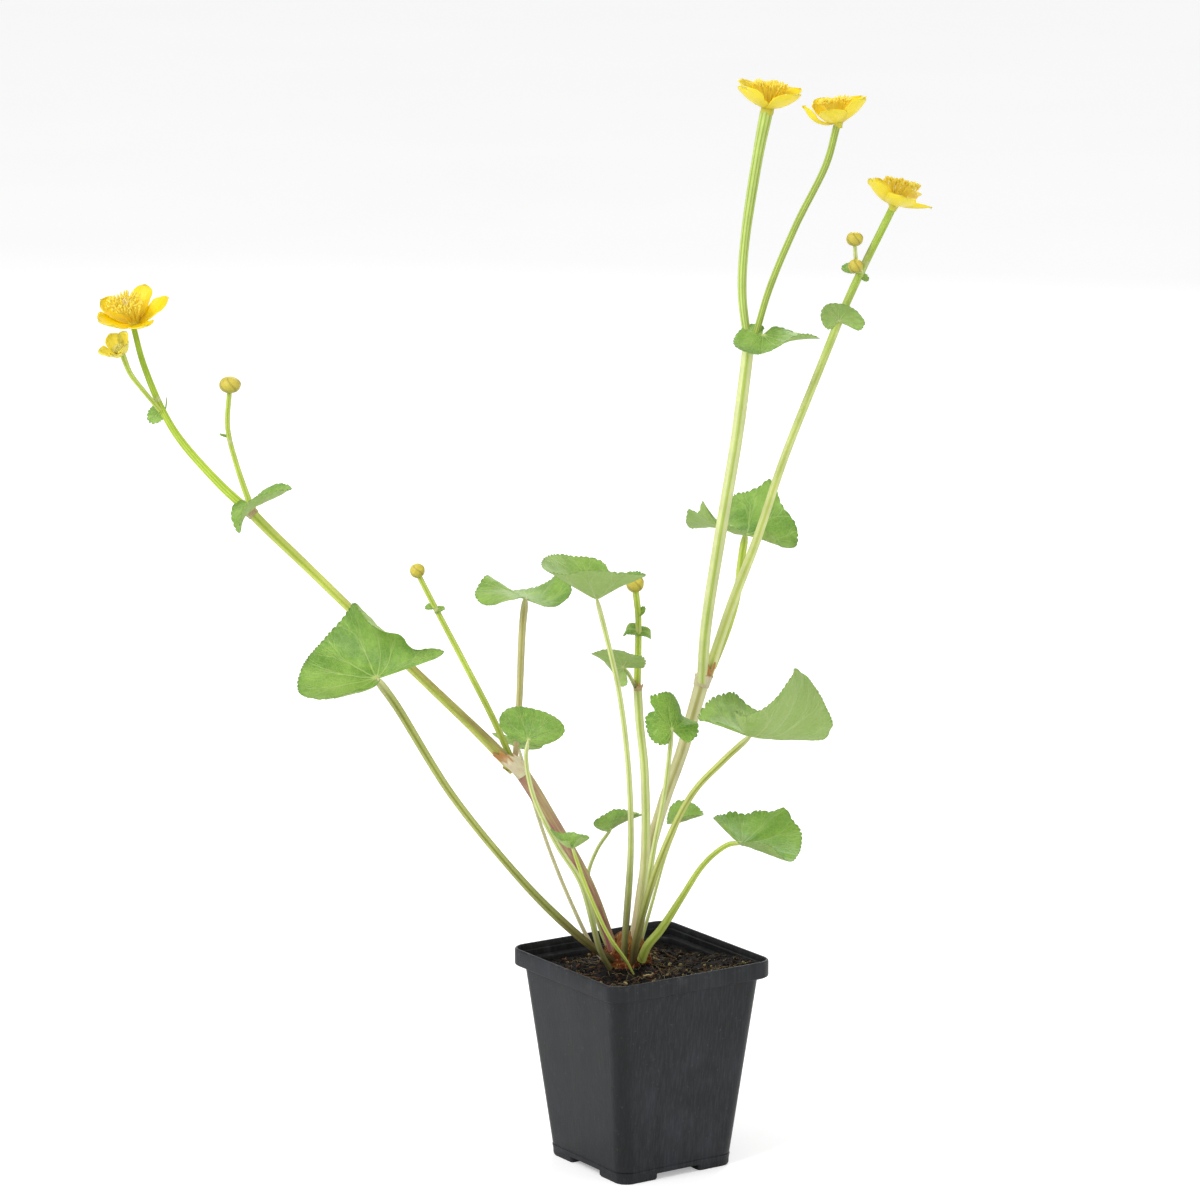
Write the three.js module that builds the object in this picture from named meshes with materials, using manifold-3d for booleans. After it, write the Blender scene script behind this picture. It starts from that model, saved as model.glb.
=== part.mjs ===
// Marsh marigold (Caltha palustris) in flower, standing in a square nursery pot.
// Units are millimetres. The origin is on the floor under the pot's centre, +Z is up,
// +X runs along the plant's widest spread and +Y is the pot's far side.

import * as THREE from 'three';
import Module from 'manifold-3d';

const wasm = await Module();
wasm.setup();

// ---------------------------------------------------------------- driving sizes

const GAP = 0.3;                 // clearance kept between neighbouring pieces

const POT_TURN = 33.56;          // degrees the square pot is turned about Z
const POT_HEIGHT = 100;
const POT_RIM_HALF = 45;         // half of the width across the rim
const POT_FOOT_HALF = 31.5;      // half of the width at the floor
const POT_WALL = 1.2;
const POT_CORNER = 8;            // corner radius of the body
const RIM_BAND = 8;              // height of the rim band
const BASE_BAND = 5.5;           // height of the band round the foot
const FOOT_CHANNEL = 23;         // width of the raised cross under the pot
const FOOT_HEIGHT = 3;           // height of that cross above the floor

const SOIL_LEVEL = 91;           // soil height at the walls
const SOIL_MOUND = 3.5;          // extra height where the crown stands
const CROWN_X = -7;
const CROWN_Y = 5;

const BLADE_THICK = 0.9;
const PETAL_THICK = 0.8;

// ---------------------------------------------------------------- colours

const paint = (color, roughness) => new THREE.MeshStandardMaterial({ color, roughness, metalness: 0 });

const POT_BLACK = paint(0x2a2c30, 0.5);
const SOIL_BROWN = paint(0x2c2119, 0.95);
const CROWN_BROWN = paint(0x8a5a38, 0.85);
const STEM_GREEN = paint(0xb9cf76, 0.45);
const STEM_OLIVE = paint(0xa8a376, 0.5);
const LEAF_GREEN = paint(0x7fae55, 0.55);
const PETAL_YELLOW = paint(0xffd21a, 0.45);
const STAMEN_YELLOW = paint(0xf5b80e, 0.6);
const BUD_YELLOW = paint(0xd8c552, 0.5);

// ---------------------------------------------------------------- closed shells

const vec = (p) => new THREE.Vector3(p[0], p[1], p[2]);
const radians = (degrees) => (degrees * Math.PI) / 180;

function signedVolume(points, triangles) {
  let sum = 0;
  const cross = new THREE.Vector3();
  for (const [a, b, c] of triangles) {
    cross.crossVectors(points[b], points[c]);
    sum += points[a].dot(cross);
  }
  return sum / 6;
}

// Turns points and triangles into a solid whose faces look outwards.
function solid(points, triangles) {
  const flip = signedVolume(points, triangles) < 0;
  const geometry = new THREE.BufferGeometry();
  geometry.setAttribute('position', new THREE.Float32BufferAttribute(points.flatMap((p) => p.toArray()), 3));
  geometry.setIndex(triangles.flatMap(([a, b, c]) => (flip ? [a, c, b] : [a, b, c])));
  return asManifold(geometry);
}

function asManifold(geometry) {
  const mesh = new wasm.Mesh({
    numProp: 3,
    vertProperties: new Float32Array(geometry.attributes.position.array),
    triVerts: new Uint32Array(geometry.index.array),
  });
  return new wasm.Manifold(mesh);
}

// A skin through a row of rings, closed with a fan at either end.
function loft(rings) {
  const count = rings[0].length;
  const points = rings.flat();
  const triangles = [];
  for (let i = 0; i + 1 < rings.length; i += 1) {
    for (let j = 0; j < count; j += 1) {
      const k = (j + 1) % count;
      const a = i * count + j;
      const b = i * count + k;
      const c = (i + 1) * count + k;
      const d = (i + 1) * count + j;
      triangles.push([a, b, c], [a, c, d]);
    }
  }
  const last = (rings.length - 1) * count;
  const first = points.length;
  points.push(middle(rings[0]), middle(rings[rings.length - 1]));
  for (let j = 0; j < count; j += 1) {
    const k = (j + 1) % count;
    triangles.push([first, k, j], [first + 1, last + j, last + k]);
  }
  return solid(points, triangles);
}

function middle(ring) {
  const sum = new THREE.Vector3();
  ring.forEach((p) => sum.add(p));
  return sum.divideScalar(ring.length);
}

// A tube along a smooth curve; the radii are spread evenly along its length.
function tube(path, radii, { sides = 7, steps = 8, grow = 0 } = {}) {
  const curve = new THREE.CatmullRomCurve3(path.map(vec), false, 'centripetal');
  const frames = curve.computeFrenetFrames(steps, false);
  const rings = [];
  for (let i = 0; i <= steps; i += 1) {
    const centre = curve.getPointAt(i / steps);
    const radius = along(radii, i / steps) + grow;
    const ring = [];
    for (let j = 0; j < sides; j += 1) {
      const angle = (2 * Math.PI * j) / sides;
      const side = frames.normals[i].clone().multiplyScalar(radius * Math.cos(angle));
      const up = frames.binormals[i].clone().multiplyScalar(radius * Math.sin(angle));
      ring.push(centre.clone().add(side).add(up));
    }
    rings.push(ring);
  }
  return loft(rings);
}

function along(values, t) {
  const place = t * (values.length - 1);
  const low = Math.min(Math.floor(place), values.length - 2);
  return THREE.MathUtils.lerp(values[low], values[low + 1], place - low);
}

// A thin slab on either side of a sheet of points. Row 0 may be a single point.
function slab(rows, thickness) {
  const columns = rows[1].length;
  const at = (i, j) => rows[i][rows[i].length === 1 ? 0 : THREE.MathUtils.clamp(j, 0, columns - 1)];
  const points = [];
  const index = rows.map((row, i) => row.map((p, j) => {
    const here = sheetNormal(at, i, j, rows.length).multiplyScalar(thickness / 2);
    points.push(p.clone().add(here), p.clone().sub(here));
    return points.length / 2 - 1;
  }));
  const id = (i, j) => index[i][rows[i].length === 1 ? 0 : j];
  const triangles = [];
  const face = (a, b, c) => {
    if (a !== b && b !== c && c !== a) {
      triangles.push([2 * a, 2 * b, 2 * c], [2 * a + 1, 2 * c + 1, 2 * b + 1]);
    }
  };
  for (let i = 0; i + 1 < rows.length; i += 1) {
    for (let j = 0; j + 1 < columns; j += 1) {
      face(id(i, j), id(i + 1, j), id(i + 1, j + 1));
      face(id(i, j), id(i + 1, j + 1), id(i, j + 1));
    }
  }
  const edge = edgeLoop(rows, id);
  edge.forEach((a, n) => {
    const b = edge[(n + 1) % edge.length];
    triangles.push([2 * b, 2 * a, 2 * a + 1], [2 * b, 2 * a + 1, 2 * b + 1]);
  });
  return solid(points, triangles);
}

function edgeLoop(rows, id) {
  const last = rows.length - 1;
  const right = rows[last].length - 1;
  const loop = [];
  for (let i = 0; i <= last; i += 1) loop.push(id(i, 0));
  for (let j = 1; j <= right; j += 1) loop.push(id(last, j));
  for (let i = last - 1; i >= 0; i -= 1) loop.push(id(i, right));
  for (let j = rows[0].length - 2; j > 0; j -= 1) loop.push(id(0, j));
  return loop.filter((v, n) => v !== loop[(n + 1) % loop.length]);
}

function sheetNormal(at, i, j, count) {
  if (i === 0) {
    const sum = new THREE.Vector3();
    for (let k = 0; k < 40; k += 1) {
      const from = at(1, k).clone().sub(at(0, 0));
      sum.add(from.cross(at(1, k + 1).clone().sub(at(0, 0))));
    }
    if (sum.length() > 1e-6) return sum.normalize().negate();
  }
  const outward = at(Math.min(i + 1, count - 1), j).clone().sub(at(Math.max(i - 1, 0), j));
  const across = at(i, j + 1).clone().sub(at(i, j - 1));
  return across.cross(outward).normalize();
}

// ---------------------------------------------------------------- leaf blades

// Distance from the stalk joint to the margin of a kidney-shaped blade.
function marginDistance(angle, shape) {
  const { wide, long, offset, spread } = shape;
  const s = Math.sin(angle);
  const c = Math.cos(angle);
  const centre = offset * long;
  const a = (s * s) / (wide * wide) + (c * c) / (long * long);
  const b = (c * centre) / (long * long);
  const reach = (b + Math.sqrt(b * b + a * (1 - (centre * centre) / (long * long)))) / a;
  return reach * Math.sqrt(Math.max(1 - (Math.abs(angle) / (spread * 1.03)) ** 14, 0.02));
}

// Rolls a flat distance into an arc of a given curvature.
function roll(distance, height, curvature) {
  const k = Math.abs(curvature) < 1e-5 ? 1e-5 : curvature;
  const angle = k * Math.abs(distance);
  const flat = Math.sign(distance) * (Math.sin(angle) / k - height * Math.sin(angle));
  return [flat, (1 - Math.cos(angle)) / k + height * Math.cos(angle)];
}

// One point of the blade: t runs from the stalk joint to the margin.
function bladePoint(t, angle, leaf, grow) {
  const { wide, long, offset, curl } = leaf;
  const [left, right, tip, base] = curl;
  const { skew = 0, twist = 0, wave = 0, phase = 0 } = leaf;
  const reach = t * (marginDistance(angle, leaf) + grow);
  let x = reach * Math.sin(angle);
  const y = reach * Math.cos(angle);
  x *= 1 + skew * Math.sign(x);
  let z = wave * wide * Math.sin(3 * angle + phase) * t * t;
  [x, z] = roll(x, z, (x < 0 ? left : right) / wide);
  const turn = (twist * y) / (long * (1 + offset));
  [x, z] = [x * Math.cos(turn) + z * Math.sin(turn), z * Math.cos(turn) - x * Math.sin(turn)];
  const [flat, height] = roll(y, z, (y > 0 ? tip : base) / (long * (1 + offset)));
  return new THREE.Vector3(x, flat, height);
}

function placed(point, leaf) {
  const [yaw, pitch, bank] = leaf.turn.map(radians);
  point.applyAxisAngle(new THREE.Vector3(0, 1, 0), bank);
  point.applyAxisAngle(new THREE.Vector3(1, 0, 0), pitch);
  point.applyAxisAngle(new THREE.Vector3(0, 0, 1), yaw);
  return point.add(vec(leaf.at));
}

function blade(leaf, grow = 0) {
  const { rays = 12, rows = 2, spread } = leaf;
  const sheet = [[placed(new THREE.Vector3(), leaf)]];
  for (let i = 1; i <= rows; i += 1) {
    const row = [];
    for (let j = 0; j <= rays; j += 1) {
      const angle = spread * ((2 * j) / rays - 1);
      row.push(placed(bladePoint(i / rows, angle, leaf, grow), leaf));
    }
    sheet.push(row);
  }
  return slab(sheet, BLADE_THICK + 2 * grow);
}

// A blade grown together with its own stalk.
function leafSolid(leaf, grow = 0) {
  if (!leaf.stalk) return blade(leaf, grow);
  const path = [...leaf.stalk, leaf.at];
  const stalk = tube(path, leaf.radii, { sides: 5, steps: leaf.steps ?? 6, grow });
  return blade(leaf, grow).add(stalk);
}

const LEAVES = {
  leaf_left_large: {
    at: [-120.3, -50, 241.9], turn: [49, 11, -21], wide: 31.6, long: 26.8, offset: 0.35, spread: 2.3,
    curl: [0.78, 2.04, 0.26, -0.01], wave: -0.14, phase: -0.41, skew: 0.07, twist: -0.51, rows: 3, rays: 16,
    stalk: [
      [-13, -2, 97], [-22, -6, 104], [-38.5, -15, 121], [-56, -24, 142], [-87, -39, 185.5], [-112, -49, 230],
    ],
    radii: [1.8, 2.1, 1.8, 1.8, 1.9, 2.1],
  },
  leaf_center_high: {
    at: [-21.4, -25, 276.3], turn: [55, 25, 2], wide: 26, long: 19.6, offset: 0.4, spread: 2.33,
    curl: [1.75, 0.64, -0.21, 0.19], wave: -0.21, phase: -2.35, skew: 0.17, twist: 0.28, rays: 16,
    stalk: [
      [-8, -4, 98], [-7.5, -8, 110], [-5, -16, 154], [-6, -20, 191.5], [-10.5, -23, 230], [-16.5, -24, 257],
    ],
    radii: [1.6, 1.7, 1.4, 1.3, 1.2, 1.2],
  },
  leaf_center_left: {
    at: [-53.5, -8, 270.5], turn: [27, 4, 27], wide: 23.3, long: 20.5, offset: 0.36, spread: 2.33,
    curl: [-1.28, 1.23, -0.01, -0.02], wave: -0.04, phase: -0.24, skew: 0.12, rays: 16,
    stalk: [[-57.5, -4, 196], [-56.5, -6, 221], [-55, -7, 255]], radii: [1.3, 1.5, 1.7, 1.8], steps: 4,
  },
  leaf_low_left: {
    at: [-51.9, -34, 209.7], turn: [-34, 71, 13], wide: 14.4, long: 8.9, offset: 0.75, spread: 2.49,
    curl: [-0.1, -0.62, -0.24, 0], wave: 0.22, phase: -1.39, twist: 0.38,
    stalk: [
      [-15, -6, 95], [-19, -11, 104], [-28, -20, 139], [-39, -25, 158.5], [-49.5, -30, 182],
      [-53, -33, 201.5],
    ],
    radii: [1.3, 1.5, 1.3, 1.1, 1],
  },
  leaf_right_mid: {
    at: [49, 45, 290.9], turn: [22, 6, 8], wide: 26.8, long: 25.5, offset: 0.35, spread: 2.89,
    curl: [0.75, 0.62, 0.2, 1.48], wave: 0.22, phase: -1.05, skew: 0.04, twist: -0.65, rays: 16,
    stalk: [[35, 31, 233], [41, 37, 248], [45, 41, 262], [47, 44, 278]], radii: [1.6, 1.8, 1.9], steps: 5,
  },
  leaf_center_low: {
    at: [-8.5, -2, 237.1], turn: [112, 34, 46], wide: 15, long: 12.5, offset: 0.35, spread: 2.77,
    curl: [-0.14, 0.77, -0.02, -0.98], wave: -0.19, phase: 0.4, skew: -0.06, twist: -0.77,
    stalk: [[-4, 5, 227], [-6, 2, 233]], radii: [0.9, 1], steps: 3,
  },
  leaf_front_small: {
    at: [-31.9, -38, 160.4], turn: [-34, 15, -4], wide: 9.4, long: 5.8, offset: 0.38, spread: 2.72,
    curl: [1.25, 1.24, 0.41, 0.69], wave: 0.21, phase: 2.23, skew: -0.25, twist: -0.22,
    stalk: [[-2, -15, 91], [-6, -18, 101], [-15, -24, 113.5], [-25, -32, 139]], radii: [1, 1, 0.9],
  },
  leaf_back_left: {
    at: [-57.4, 22, 193.8], turn: [0, -26, 20], wide: 12.8, long: 8.5, offset: 0.44, spread: 2.69,
    curl: [0.58, 0.43, 1.31, 0.96], wave: -0.09, phase: 0.1, skew: -0.1, twist: -0.49,
    stalk: [[-15, 11, 91], [-22, 15, 98], [-32, 17, 118], [-42.5, 20, 143.5], [-51.5, 22, 171]],
    radii: [1, 0.9, 0.8],
  },
  leaf_back_low: {
    at: [-13.8, 38, 150.5], turn: [-15, 10, -32], wide: 11.7, long: 8.8, offset: 0.49, spread: 2.54,
    curl: [1.52, 0.22, 0.5, 0], wave: 0.22, phase: 1.47, skew: 0.26, twist: 0.51,
    stalk: [[-12, 12, 92], [-19, 24, 105], [-25, 32, 127], [-21, 36, 140]], radii: [1, 0.9, 0.9],
  },
  leaf_back_right: {
    at: [17.9, 42, 152.7], turn: [-55, 21, -8], wide: 11.5, long: 7.9, offset: 0.58, spread: 2.38,
    curl: [-0.1, 1.21, 0.29, 0.17], wave: -0.07, phase: -1.1, skew: -0.15, twist: 0.79,
    stalk: [[-3, 13, 91], [5, 29, 115], [12, 38, 138]], radii: [0.9, 0.8, 0.8], steps: 5,
  },
  leaf_right_large: {
    at: [49.2, -38, 215], turn: [-61, -17, -4], wide: 39.6, long: 30.5, offset: 0.36, spread: 2.85,
    curl: [0.64, 1.97, 0.53, 0.32], wave: -0.17, phase: 2.45, skew: 0.05, twist: -0.34, rows: 3, rays: 18,
    stalk: [[-4, -6, 97], [-2.5, -12, 109.5], [8, -22, 149], [23, -32, 184], [36.5, -36, 200]],
    radii: [1.5, 1.8, 1.7, 1.5, 1.5],
  },
  leaf_center_front: {
    at: [13.8, -22, 212], turn: [27, 67, -11], wide: 13.4, long: 12.9, offset: 0.35, spread: 2.74,
    curl: [-0.75, -0.63, -0.23, 0], wave: -0.14, phase: -1.64, skew: 0.11, twist: 0.54, rays: 14,
    stalk: [[-3, -2, 98], [0, -8, 115.5], [5.5, -14, 152.5], [10.5, -18, 181], [13, -21, 203]],
    radii: [1.2, 1.4, 1.2, 1.1],
  },
  leaf_right_low: {
    at: [46.5, -15, 159.7], turn: [-57, -6, 14], wide: 21.9, long: 21.4, offset: 0.35, spread: 2.39,
    curl: [0.36, 0.57, 0.23, -0.23], wave: -0.22, phase: -1.35, twist: 0.26, rays: 16,
    stalk: [[-1, 0, 96], [2, -4, 105], [9, -5, 112.5], [18, -7, 124], [28, -10, 141.5], [37.5, -13, 151]],
    radii: [1.4, 1.4, 1.2, 1.2],
  },
  bract_left: {
    at: [-177.1, -14, 316.4], turn: [213, 0, 27], wide: 16.6, long: 15.1, offset: 0.42, spread: 2.66,
    curl: [-0.15, -0.55, 0.93, 1.19], wave: 0.17, phase: -0.1, rays: 14,
  },
  bract_right_mid: {
    at: [55.5, 10, 390.2], turn: [169, -48, -10], wide: 17.6, long: 13.1, offset: 0.36, spread: 2.6,
    curl: [0.22, -0.37, 1.19, 0.05], wave: -0.16, phase: 1.45, skew: -0.29, twist: 0.34, rays: 14,
  },
  bract_right_high: {
    at: [90.9, 26, 394.2], turn: [166, 82, 7], wide: 11.9, long: 9.2, offset: 0.35, spread: 2.33,
    curl: [-0.81, -0.52, -1.02, 0.36], wave: 0.03, phase: -0.43, skew: -0.29,
  },
};

// ---------------------------------------------------------------- stems

// A scale leaf: a tiny blade grown fast to its stem. Droop bends its tip up or down.
const scale = (at, turn, wide, long, droop = 0.4, spread = 2.2) => ({
  at, turn, wide, long, offset: 0.6, spread, curl: [0.2, 0.2, droop, 0], rays: 4, rows: 2,
});

const STEMS = {
  stem_left_lower: {
    path: [
      [-12, 1, 98], [-16.5, 1, 112], [-25.5, -2, 136], [-41.5, -6, 165], [-55.5, -8, 188.5],
      [-60, -8, 193.5],
    ],
    radii: [2.3, 2.4, 2.5, 3, 3.3, 3.4], sheath: 0.7, color: STEM_OLIVE,
  },
  stem_left_middle: {
    path: [
      [-58.5, -8, 190], [-73.5, -9, 206], [-103.5, -11, 236], [-152.5, -13, 285.5], [-172.5, -14, 305.5],
      [-179.5, -14, 313],
    ],
    radii: [3, 2.4, 2.2, 2.1, 2.2, 2.5], sheath: 0.4, color: STEM_GREEN,
  },
  stem_left_upper: {
    path: [
      [-178.5, -14, 311.5], [-193.7, -16, 326.5], [-213.2, -18, 351], [-225.3, -20, 379.5], [-230, -20, 398],
    ],
    radii: [2.2, 2, 1.9, 1.8, 1.7, 1.7], color: STEM_GREEN,
    scales: [
      scale([-218, -17.6, 360.3], [84, -28, -75], 3.8, 5.2, 0.2, 1.2),
      scale([-216.5, -18, 360], [-90, 72, 0], 1.2, 3.4),
    ],
  },
  bud_stalk_left_low: {
    path: [[-60, -3, 193], [-69, 0, 212.8], [-82.5, 3, 239], [-95.5, 5, 264], [-102.3, 5, 277.5]],
    radii: [1.6, 1.5, 1.4, 1.3], color: STEM_GREEN,
    scales: [
      scale([-95.3, 4.6, 262], [-100, 35, 40], 2, 3, -0.8),
      scale([-95.8, 5, 264], [95, 10, -50], 1.8, 3, -1),
    ],
  },
  bud_stalk_left_high: {
    path: [[-178, -10, 315], [-185.5, -5, 332.5], [-189.3, -4, 349], [-188.3, -4, 366]],
    radii: [1.5, 1.3, 1.2, 1.2], steps: 6, color: STEM_GREEN,
    scales: [scale([-189.2, -4, 345.2], [90, 8, -40], 1.2, 3)],
  },
  stem_right_lower: {
    path: [[-5, 7, 98], [-2, 8, 111.5], [3.5, 12, 144], [11.2, 17, 170], [19.2, 20, 192.5], [29, 24, 226]],
    radii: [2.6, 2.8, 2.8, 2.8, 3.1, 3.5], sheath: 0.6, color: STEM_OLIVE,
  },
  stem_right_tall: {
    path: [
      [28.5, 22, 224.5], [30, 21, 250], [36.5, 16, 296], [43.7, 14, 341], [47.4, 13, 371], [49.5, 13, 390],
    ],
    radii: [2.6, 2.7, 2.8, 2.8, 2.9, 2.7], color: STEM_GREEN,
  },
  flower_stalk_top: {
    path: [[48.5, 14, 387], [46, 16, 408], [47, 17, 431], [53, 19, 472], [56.7, 20, 491]],
    radii: [1.9, 2.1, 2.2, 2.4, 2.6, 3.1], color: STEM_GREEN,
  },
  flower_stalk_top_right: {
    path: [[51.7, 12, 388], [58.2, 9, 411.3], [70, 5, 441], [83.5, 2, 469.5], [88, 2, 486.5]],
    radii: [1.6, 1.6, 1.6, 1.6, 1.7], color: STEM_GREEN,
  },
  stem_right_side: {
    path: [
      [31.2, 25.4, 227.5], [43.3, 30, 263], [53.5, 32, 289.5], [66.2, 34, 328], [81.3, 35, 367],
      [96.3, 34, 405], [115.3, 32, 445.5],
    ],
    radii: [2.5, 2.4, 2.1, 2, 2, 1.9, 1.8], steps: 10, color: STEM_GREEN,
    scales: [
      scale([100.9, 33.8, 417.6], [88, 6, -60], 3.6, 6.8, -0.4),
      scale([101.6, 33.6, 414.6], [-80, -42, 60], 2.8, 3.6),
    ],
  },
  stem_center_lower: {
    path: [[-3.5, 3, 99], [-2.2, 3, 111], [1.8, 4, 143], [1.5, 6, 186], [-0.8, 8, 209], [-1.8, 9, 226]],
    radii: [2.4, 2.5, 2.3, 2.1, 2, 2.1], sheath: 0.4, color: STEM_GREEN,
  },
  stem_center_upper: {
    path: [[-2, 9, 224], [-1.5, 10, 242.5], [-1.5, 10, 259], [-2.7, 10, 270.5]],
    radii: [1.8, 1.7, 1.5, 1.6], steps: 6, color: STEM_GREEN,
    scales: [
      scale([-1.8, 9.6, 251.6], [92, 30, -50], 3.4, 6.6, -2.4),
      scale([-1.2, 9.8, 251.4], [-92, 5, 50], 2.8, 6, -1.9),
      scale([-1.4, 9.8, 259.6], [-90, 35, 40], 2.2, 3, 0.6),
    ],
  },
};

function stemSolid(stem, grow = 0) {
  const { path, radii, sides = 6, steps = 8, sheath = 0, scales = [] } = stem;
  let body = tube(path, radii, { sides, steps, grow });
  if (sheath > 0) {
    const top = vec(path[path.length - 1]);
    const below = vec(path[path.length - 2]);
    const down = below.sub(top).normalize();
    const wide = radii[radii.length - 1];
    const foot = top.clone().addScaledVector(down, 8);
    const lip = top.clone().addScaledVector(down, -1.5);
    const collar = [wide * 0.9, wide + sheath, wide + sheath * 1.4];
    body = body.add(tube([foot.toArray(), top.toArray(), lip.toArray()], collar, { sides, steps: 3, grow }));
  }
  scales.forEach((small) => { body = body.add(blade(small, grow)); });
  return body;
}

// ---------------------------------------------------------------- flowers

// One petal of a flower whose axis is +Z: az is its bearing, lift its slope at the base.
function petal(shape, grow = 0) {
  const { az, long, wide, lift, bend, cup = 0.6, rows = 3, columns = 3 } = shape;
  const start = radians(lift);
  const k = radians(bend) / long || 1e-5;
  const sheet = [];
  for (let i = 0; i <= rows; i += 1) {
    const t = (i / rows) * 0.985;
    const run = t * long;
    const widening = 0.3 + 0.7 * Math.sin((Math.PI * t) / 1.24);
    const swell = t < 0.62 ? widening : Math.sqrt(1 - ((t - 0.62) / 0.38) ** 2);
    const half = (wide / 2) * swell + grow;
    const slope = start + k * run;
    const out = 1.2 + (Math.sin(slope) - Math.sin(start)) / k;
    const up = (Math.cos(start) - Math.cos(slope)) / k;
    const row = [];
    for (let j = 0; j <= columns; j += 1) {
      const across = (half * ((2 * j) / columns - 1) * cup) / (wide / 2);
      const side = ((wide / 2) * Math.sin(across)) / cup;
      const rise = ((wide / 2) * (1 - Math.cos(across))) / cup;
      const point = new THREE.Vector3(side, out - rise * Math.sin(slope), up + rise * Math.cos(slope));
      row.push(point.applyAxisAngle(new THREE.Vector3(0, 0, 1), radians(az - 90)));
    }
    sheet.push(row);
  }
  return slab(sheet, PETAL_THICK + 2 * grow);
}

// Receptacle, carpels and the brush of stamens as one flared body.
function flowerHeart(size, grow = 0) {
  const profile = [[1.7, -1.6], [2.5, -0.4], [2.7, 1.2], [4.2, 5], [7, 9.5], [6.2, 10.8], [2.8, 8.6]];
  const rings = profile.map(([radius, height]) => {
    const ring = [];
    for (let j = 0; j < 8; j += 1) {
      const angle = (2 * Math.PI * j) / 8;
      const wide = radius * size + grow;
      ring.push(new THREE.Vector3(wide * Math.cos(angle), wide * Math.sin(angle), height * size));
    }
    return ring;
  });
  return loft(rings);
}

// Tilts a flower built about +Z towards a lean bearing and sets it on its stalk.
function seated(body, flower) {
  const [lean, bearing] = flower.lean;
  const spot = flower.at;
  return body.rotate([0, 0, -bearing]).rotate([0, lean, 0]).rotate([0, 0, bearing]).translate(spot);
}

const petalRow = (az, long, wide, lift, bend, cup = 0.6) => ({ az, long, wide, lift, bend, cup });

const FLOWERS = {
  flower_left: {
    at: [-229.7, -20, 399.8], lean: [27, 260], heart: 0.9,
    petals: [
      petalRow(160, 17.6, 13.4, 6, 36), petalRow(227, 18, 15.3, 16, 43), petalRow(299, 18.4, 11.7, 13, 44),
      petalRow(11, 18.9, 13.5, 16, 36), petalRow(70, 18.3, 13.6, 30, 6),
    ],
  },
  flower_top: {
    at: [57.1, 20, 492.9], lean: [7, -3], heart: 0.95,
    petals: [
      petalRow(-138, 18.4, 15.6, 22, 40), petalRow(-42, 18.4, 16, 16, 42), petalRow(28, 18.4, 16.4, 4, 56),
      petalRow(91, 17.5, 16, 39, 21), petalRow(153, 18.2, 16, 4, 56),
    ],
  },
  flower_top_right: {
    at: [88.5, 2, 487.9], lean: [8, 164], heart: 0.9,
    petals: [
      petalRow(-104, 16.4, 15, 8, 34), petalRow(-28, 18.8, 14.6, 18, 38), petalRow(47, 18.6, 15.7, 27, 12),
      petalRow(119, 16.9, 15.6, 20, 53), petalRow(191, 18.4, 7.1, 1, 57, 1.1),
    ],
  },
  flower_right: {
    at: [116, 32, 447.2], lean: [16, 33], heart: 0.95,
    petals: [
      petalRow(-82, 17.3, 15, -4, 44), petalRow(-12, 17.1, 7.6, 2, 15, 1.1),
      petalRow(60, 17.1, 15.4, 19, 31), petalRow(132, 17.6, 12.4, 36, 6), petalRow(204, 17.3, 15, 8, 50),
    ],
  },
};

// The half open flower: five folded petals round their stamens, on its own thin stalk.
function halfFlower(grow = 0) {
  const path = [[-219.5, -24, 361.5], [-226, -27, 370.5], [-231, -29, 378], [-235, -30, 387.5]];
  const stalk = tube(path, [1.2, 1.1, 1.2, 1.4], { sides: 5, steps: 5, grow });
  const profile = [[1, -1.6], [4.4, 0], [7.6, 3], [8.6, 7.4], [6.6, 7.2], [4.6, 4.6], [3.4, 6.4]];
  const rings = profile.map(([radius, height], level) => {
    const ring = [];
    for (let j = 0; j < 10; j += 1) {
      const angle = (2 * Math.PI * j) / 10;
      const notch = level === 3 ? 2.4 * (j % 2) : 0;
      const wide = radius - 0.3 * notch + grow * (level < 4 ? 1 : 0.2);
      const high = height - notch + grow * (level < 3 ? -0.5 : 1);
      ring.push(new THREE.Vector3(wide * Math.cos(angle), wide * Math.sin(angle), high));
    }
    return ring;
  });
  return seated(loft(rings), { at: [-235.6, -30, 388], lean: [16, 150] }).add(stalk);
}

// ---------------------------------------------------------------- buds

function budBody(at, half, high, lean = 0) {
  const rings = [];
  for (let i = 0; i <= 4; i += 1) {
    const angle = -Math.PI / 2 + Math.PI * (0.09 + (0.82 * i) / 4);
    const ring = [];
    for (let j = 0; j < 8; j += 1) {
      const turn = (2 * Math.PI * j) / 8;
      const lump = half * Math.cos(angle) * 1.04;
      ring.push(new THREE.Vector3(lump * Math.cos(turn), lump * Math.sin(turn), high * Math.sin(angle)));
    }
    rings.push(ring);
  }
  return loft(rings).rotate([0, lean, 0]).translate(at);
}

function budPair(grow = 0) {
  const path = [[98.5, 30, 411], [98.5, 28, 423], [98, 28, 431]];
  const stalk = tube(path, [1.1, 1, 0.9], { sides: 5, steps: 3, grow });
  const high = budBody([98, 28, 432], 4 + grow, 3.4 + grow);
  const low = budBody([98.5, 27, 419.5], 3.5 + grow, 3.4 + grow);
  return stalk.add(high).add(low);
}

const BUDS = {
  bud_left_low: [[-103.5, 5, 281], 3.6, 3.4, -20],
  bud_left_high: [[-188, -4, 369], 5.1, 3.9, 0],
  bud_center: [[-3, 10, 274], 4.3, 4.2, -10],
};

// ---------------------------------------------------------------- pot, soil, crown

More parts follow.
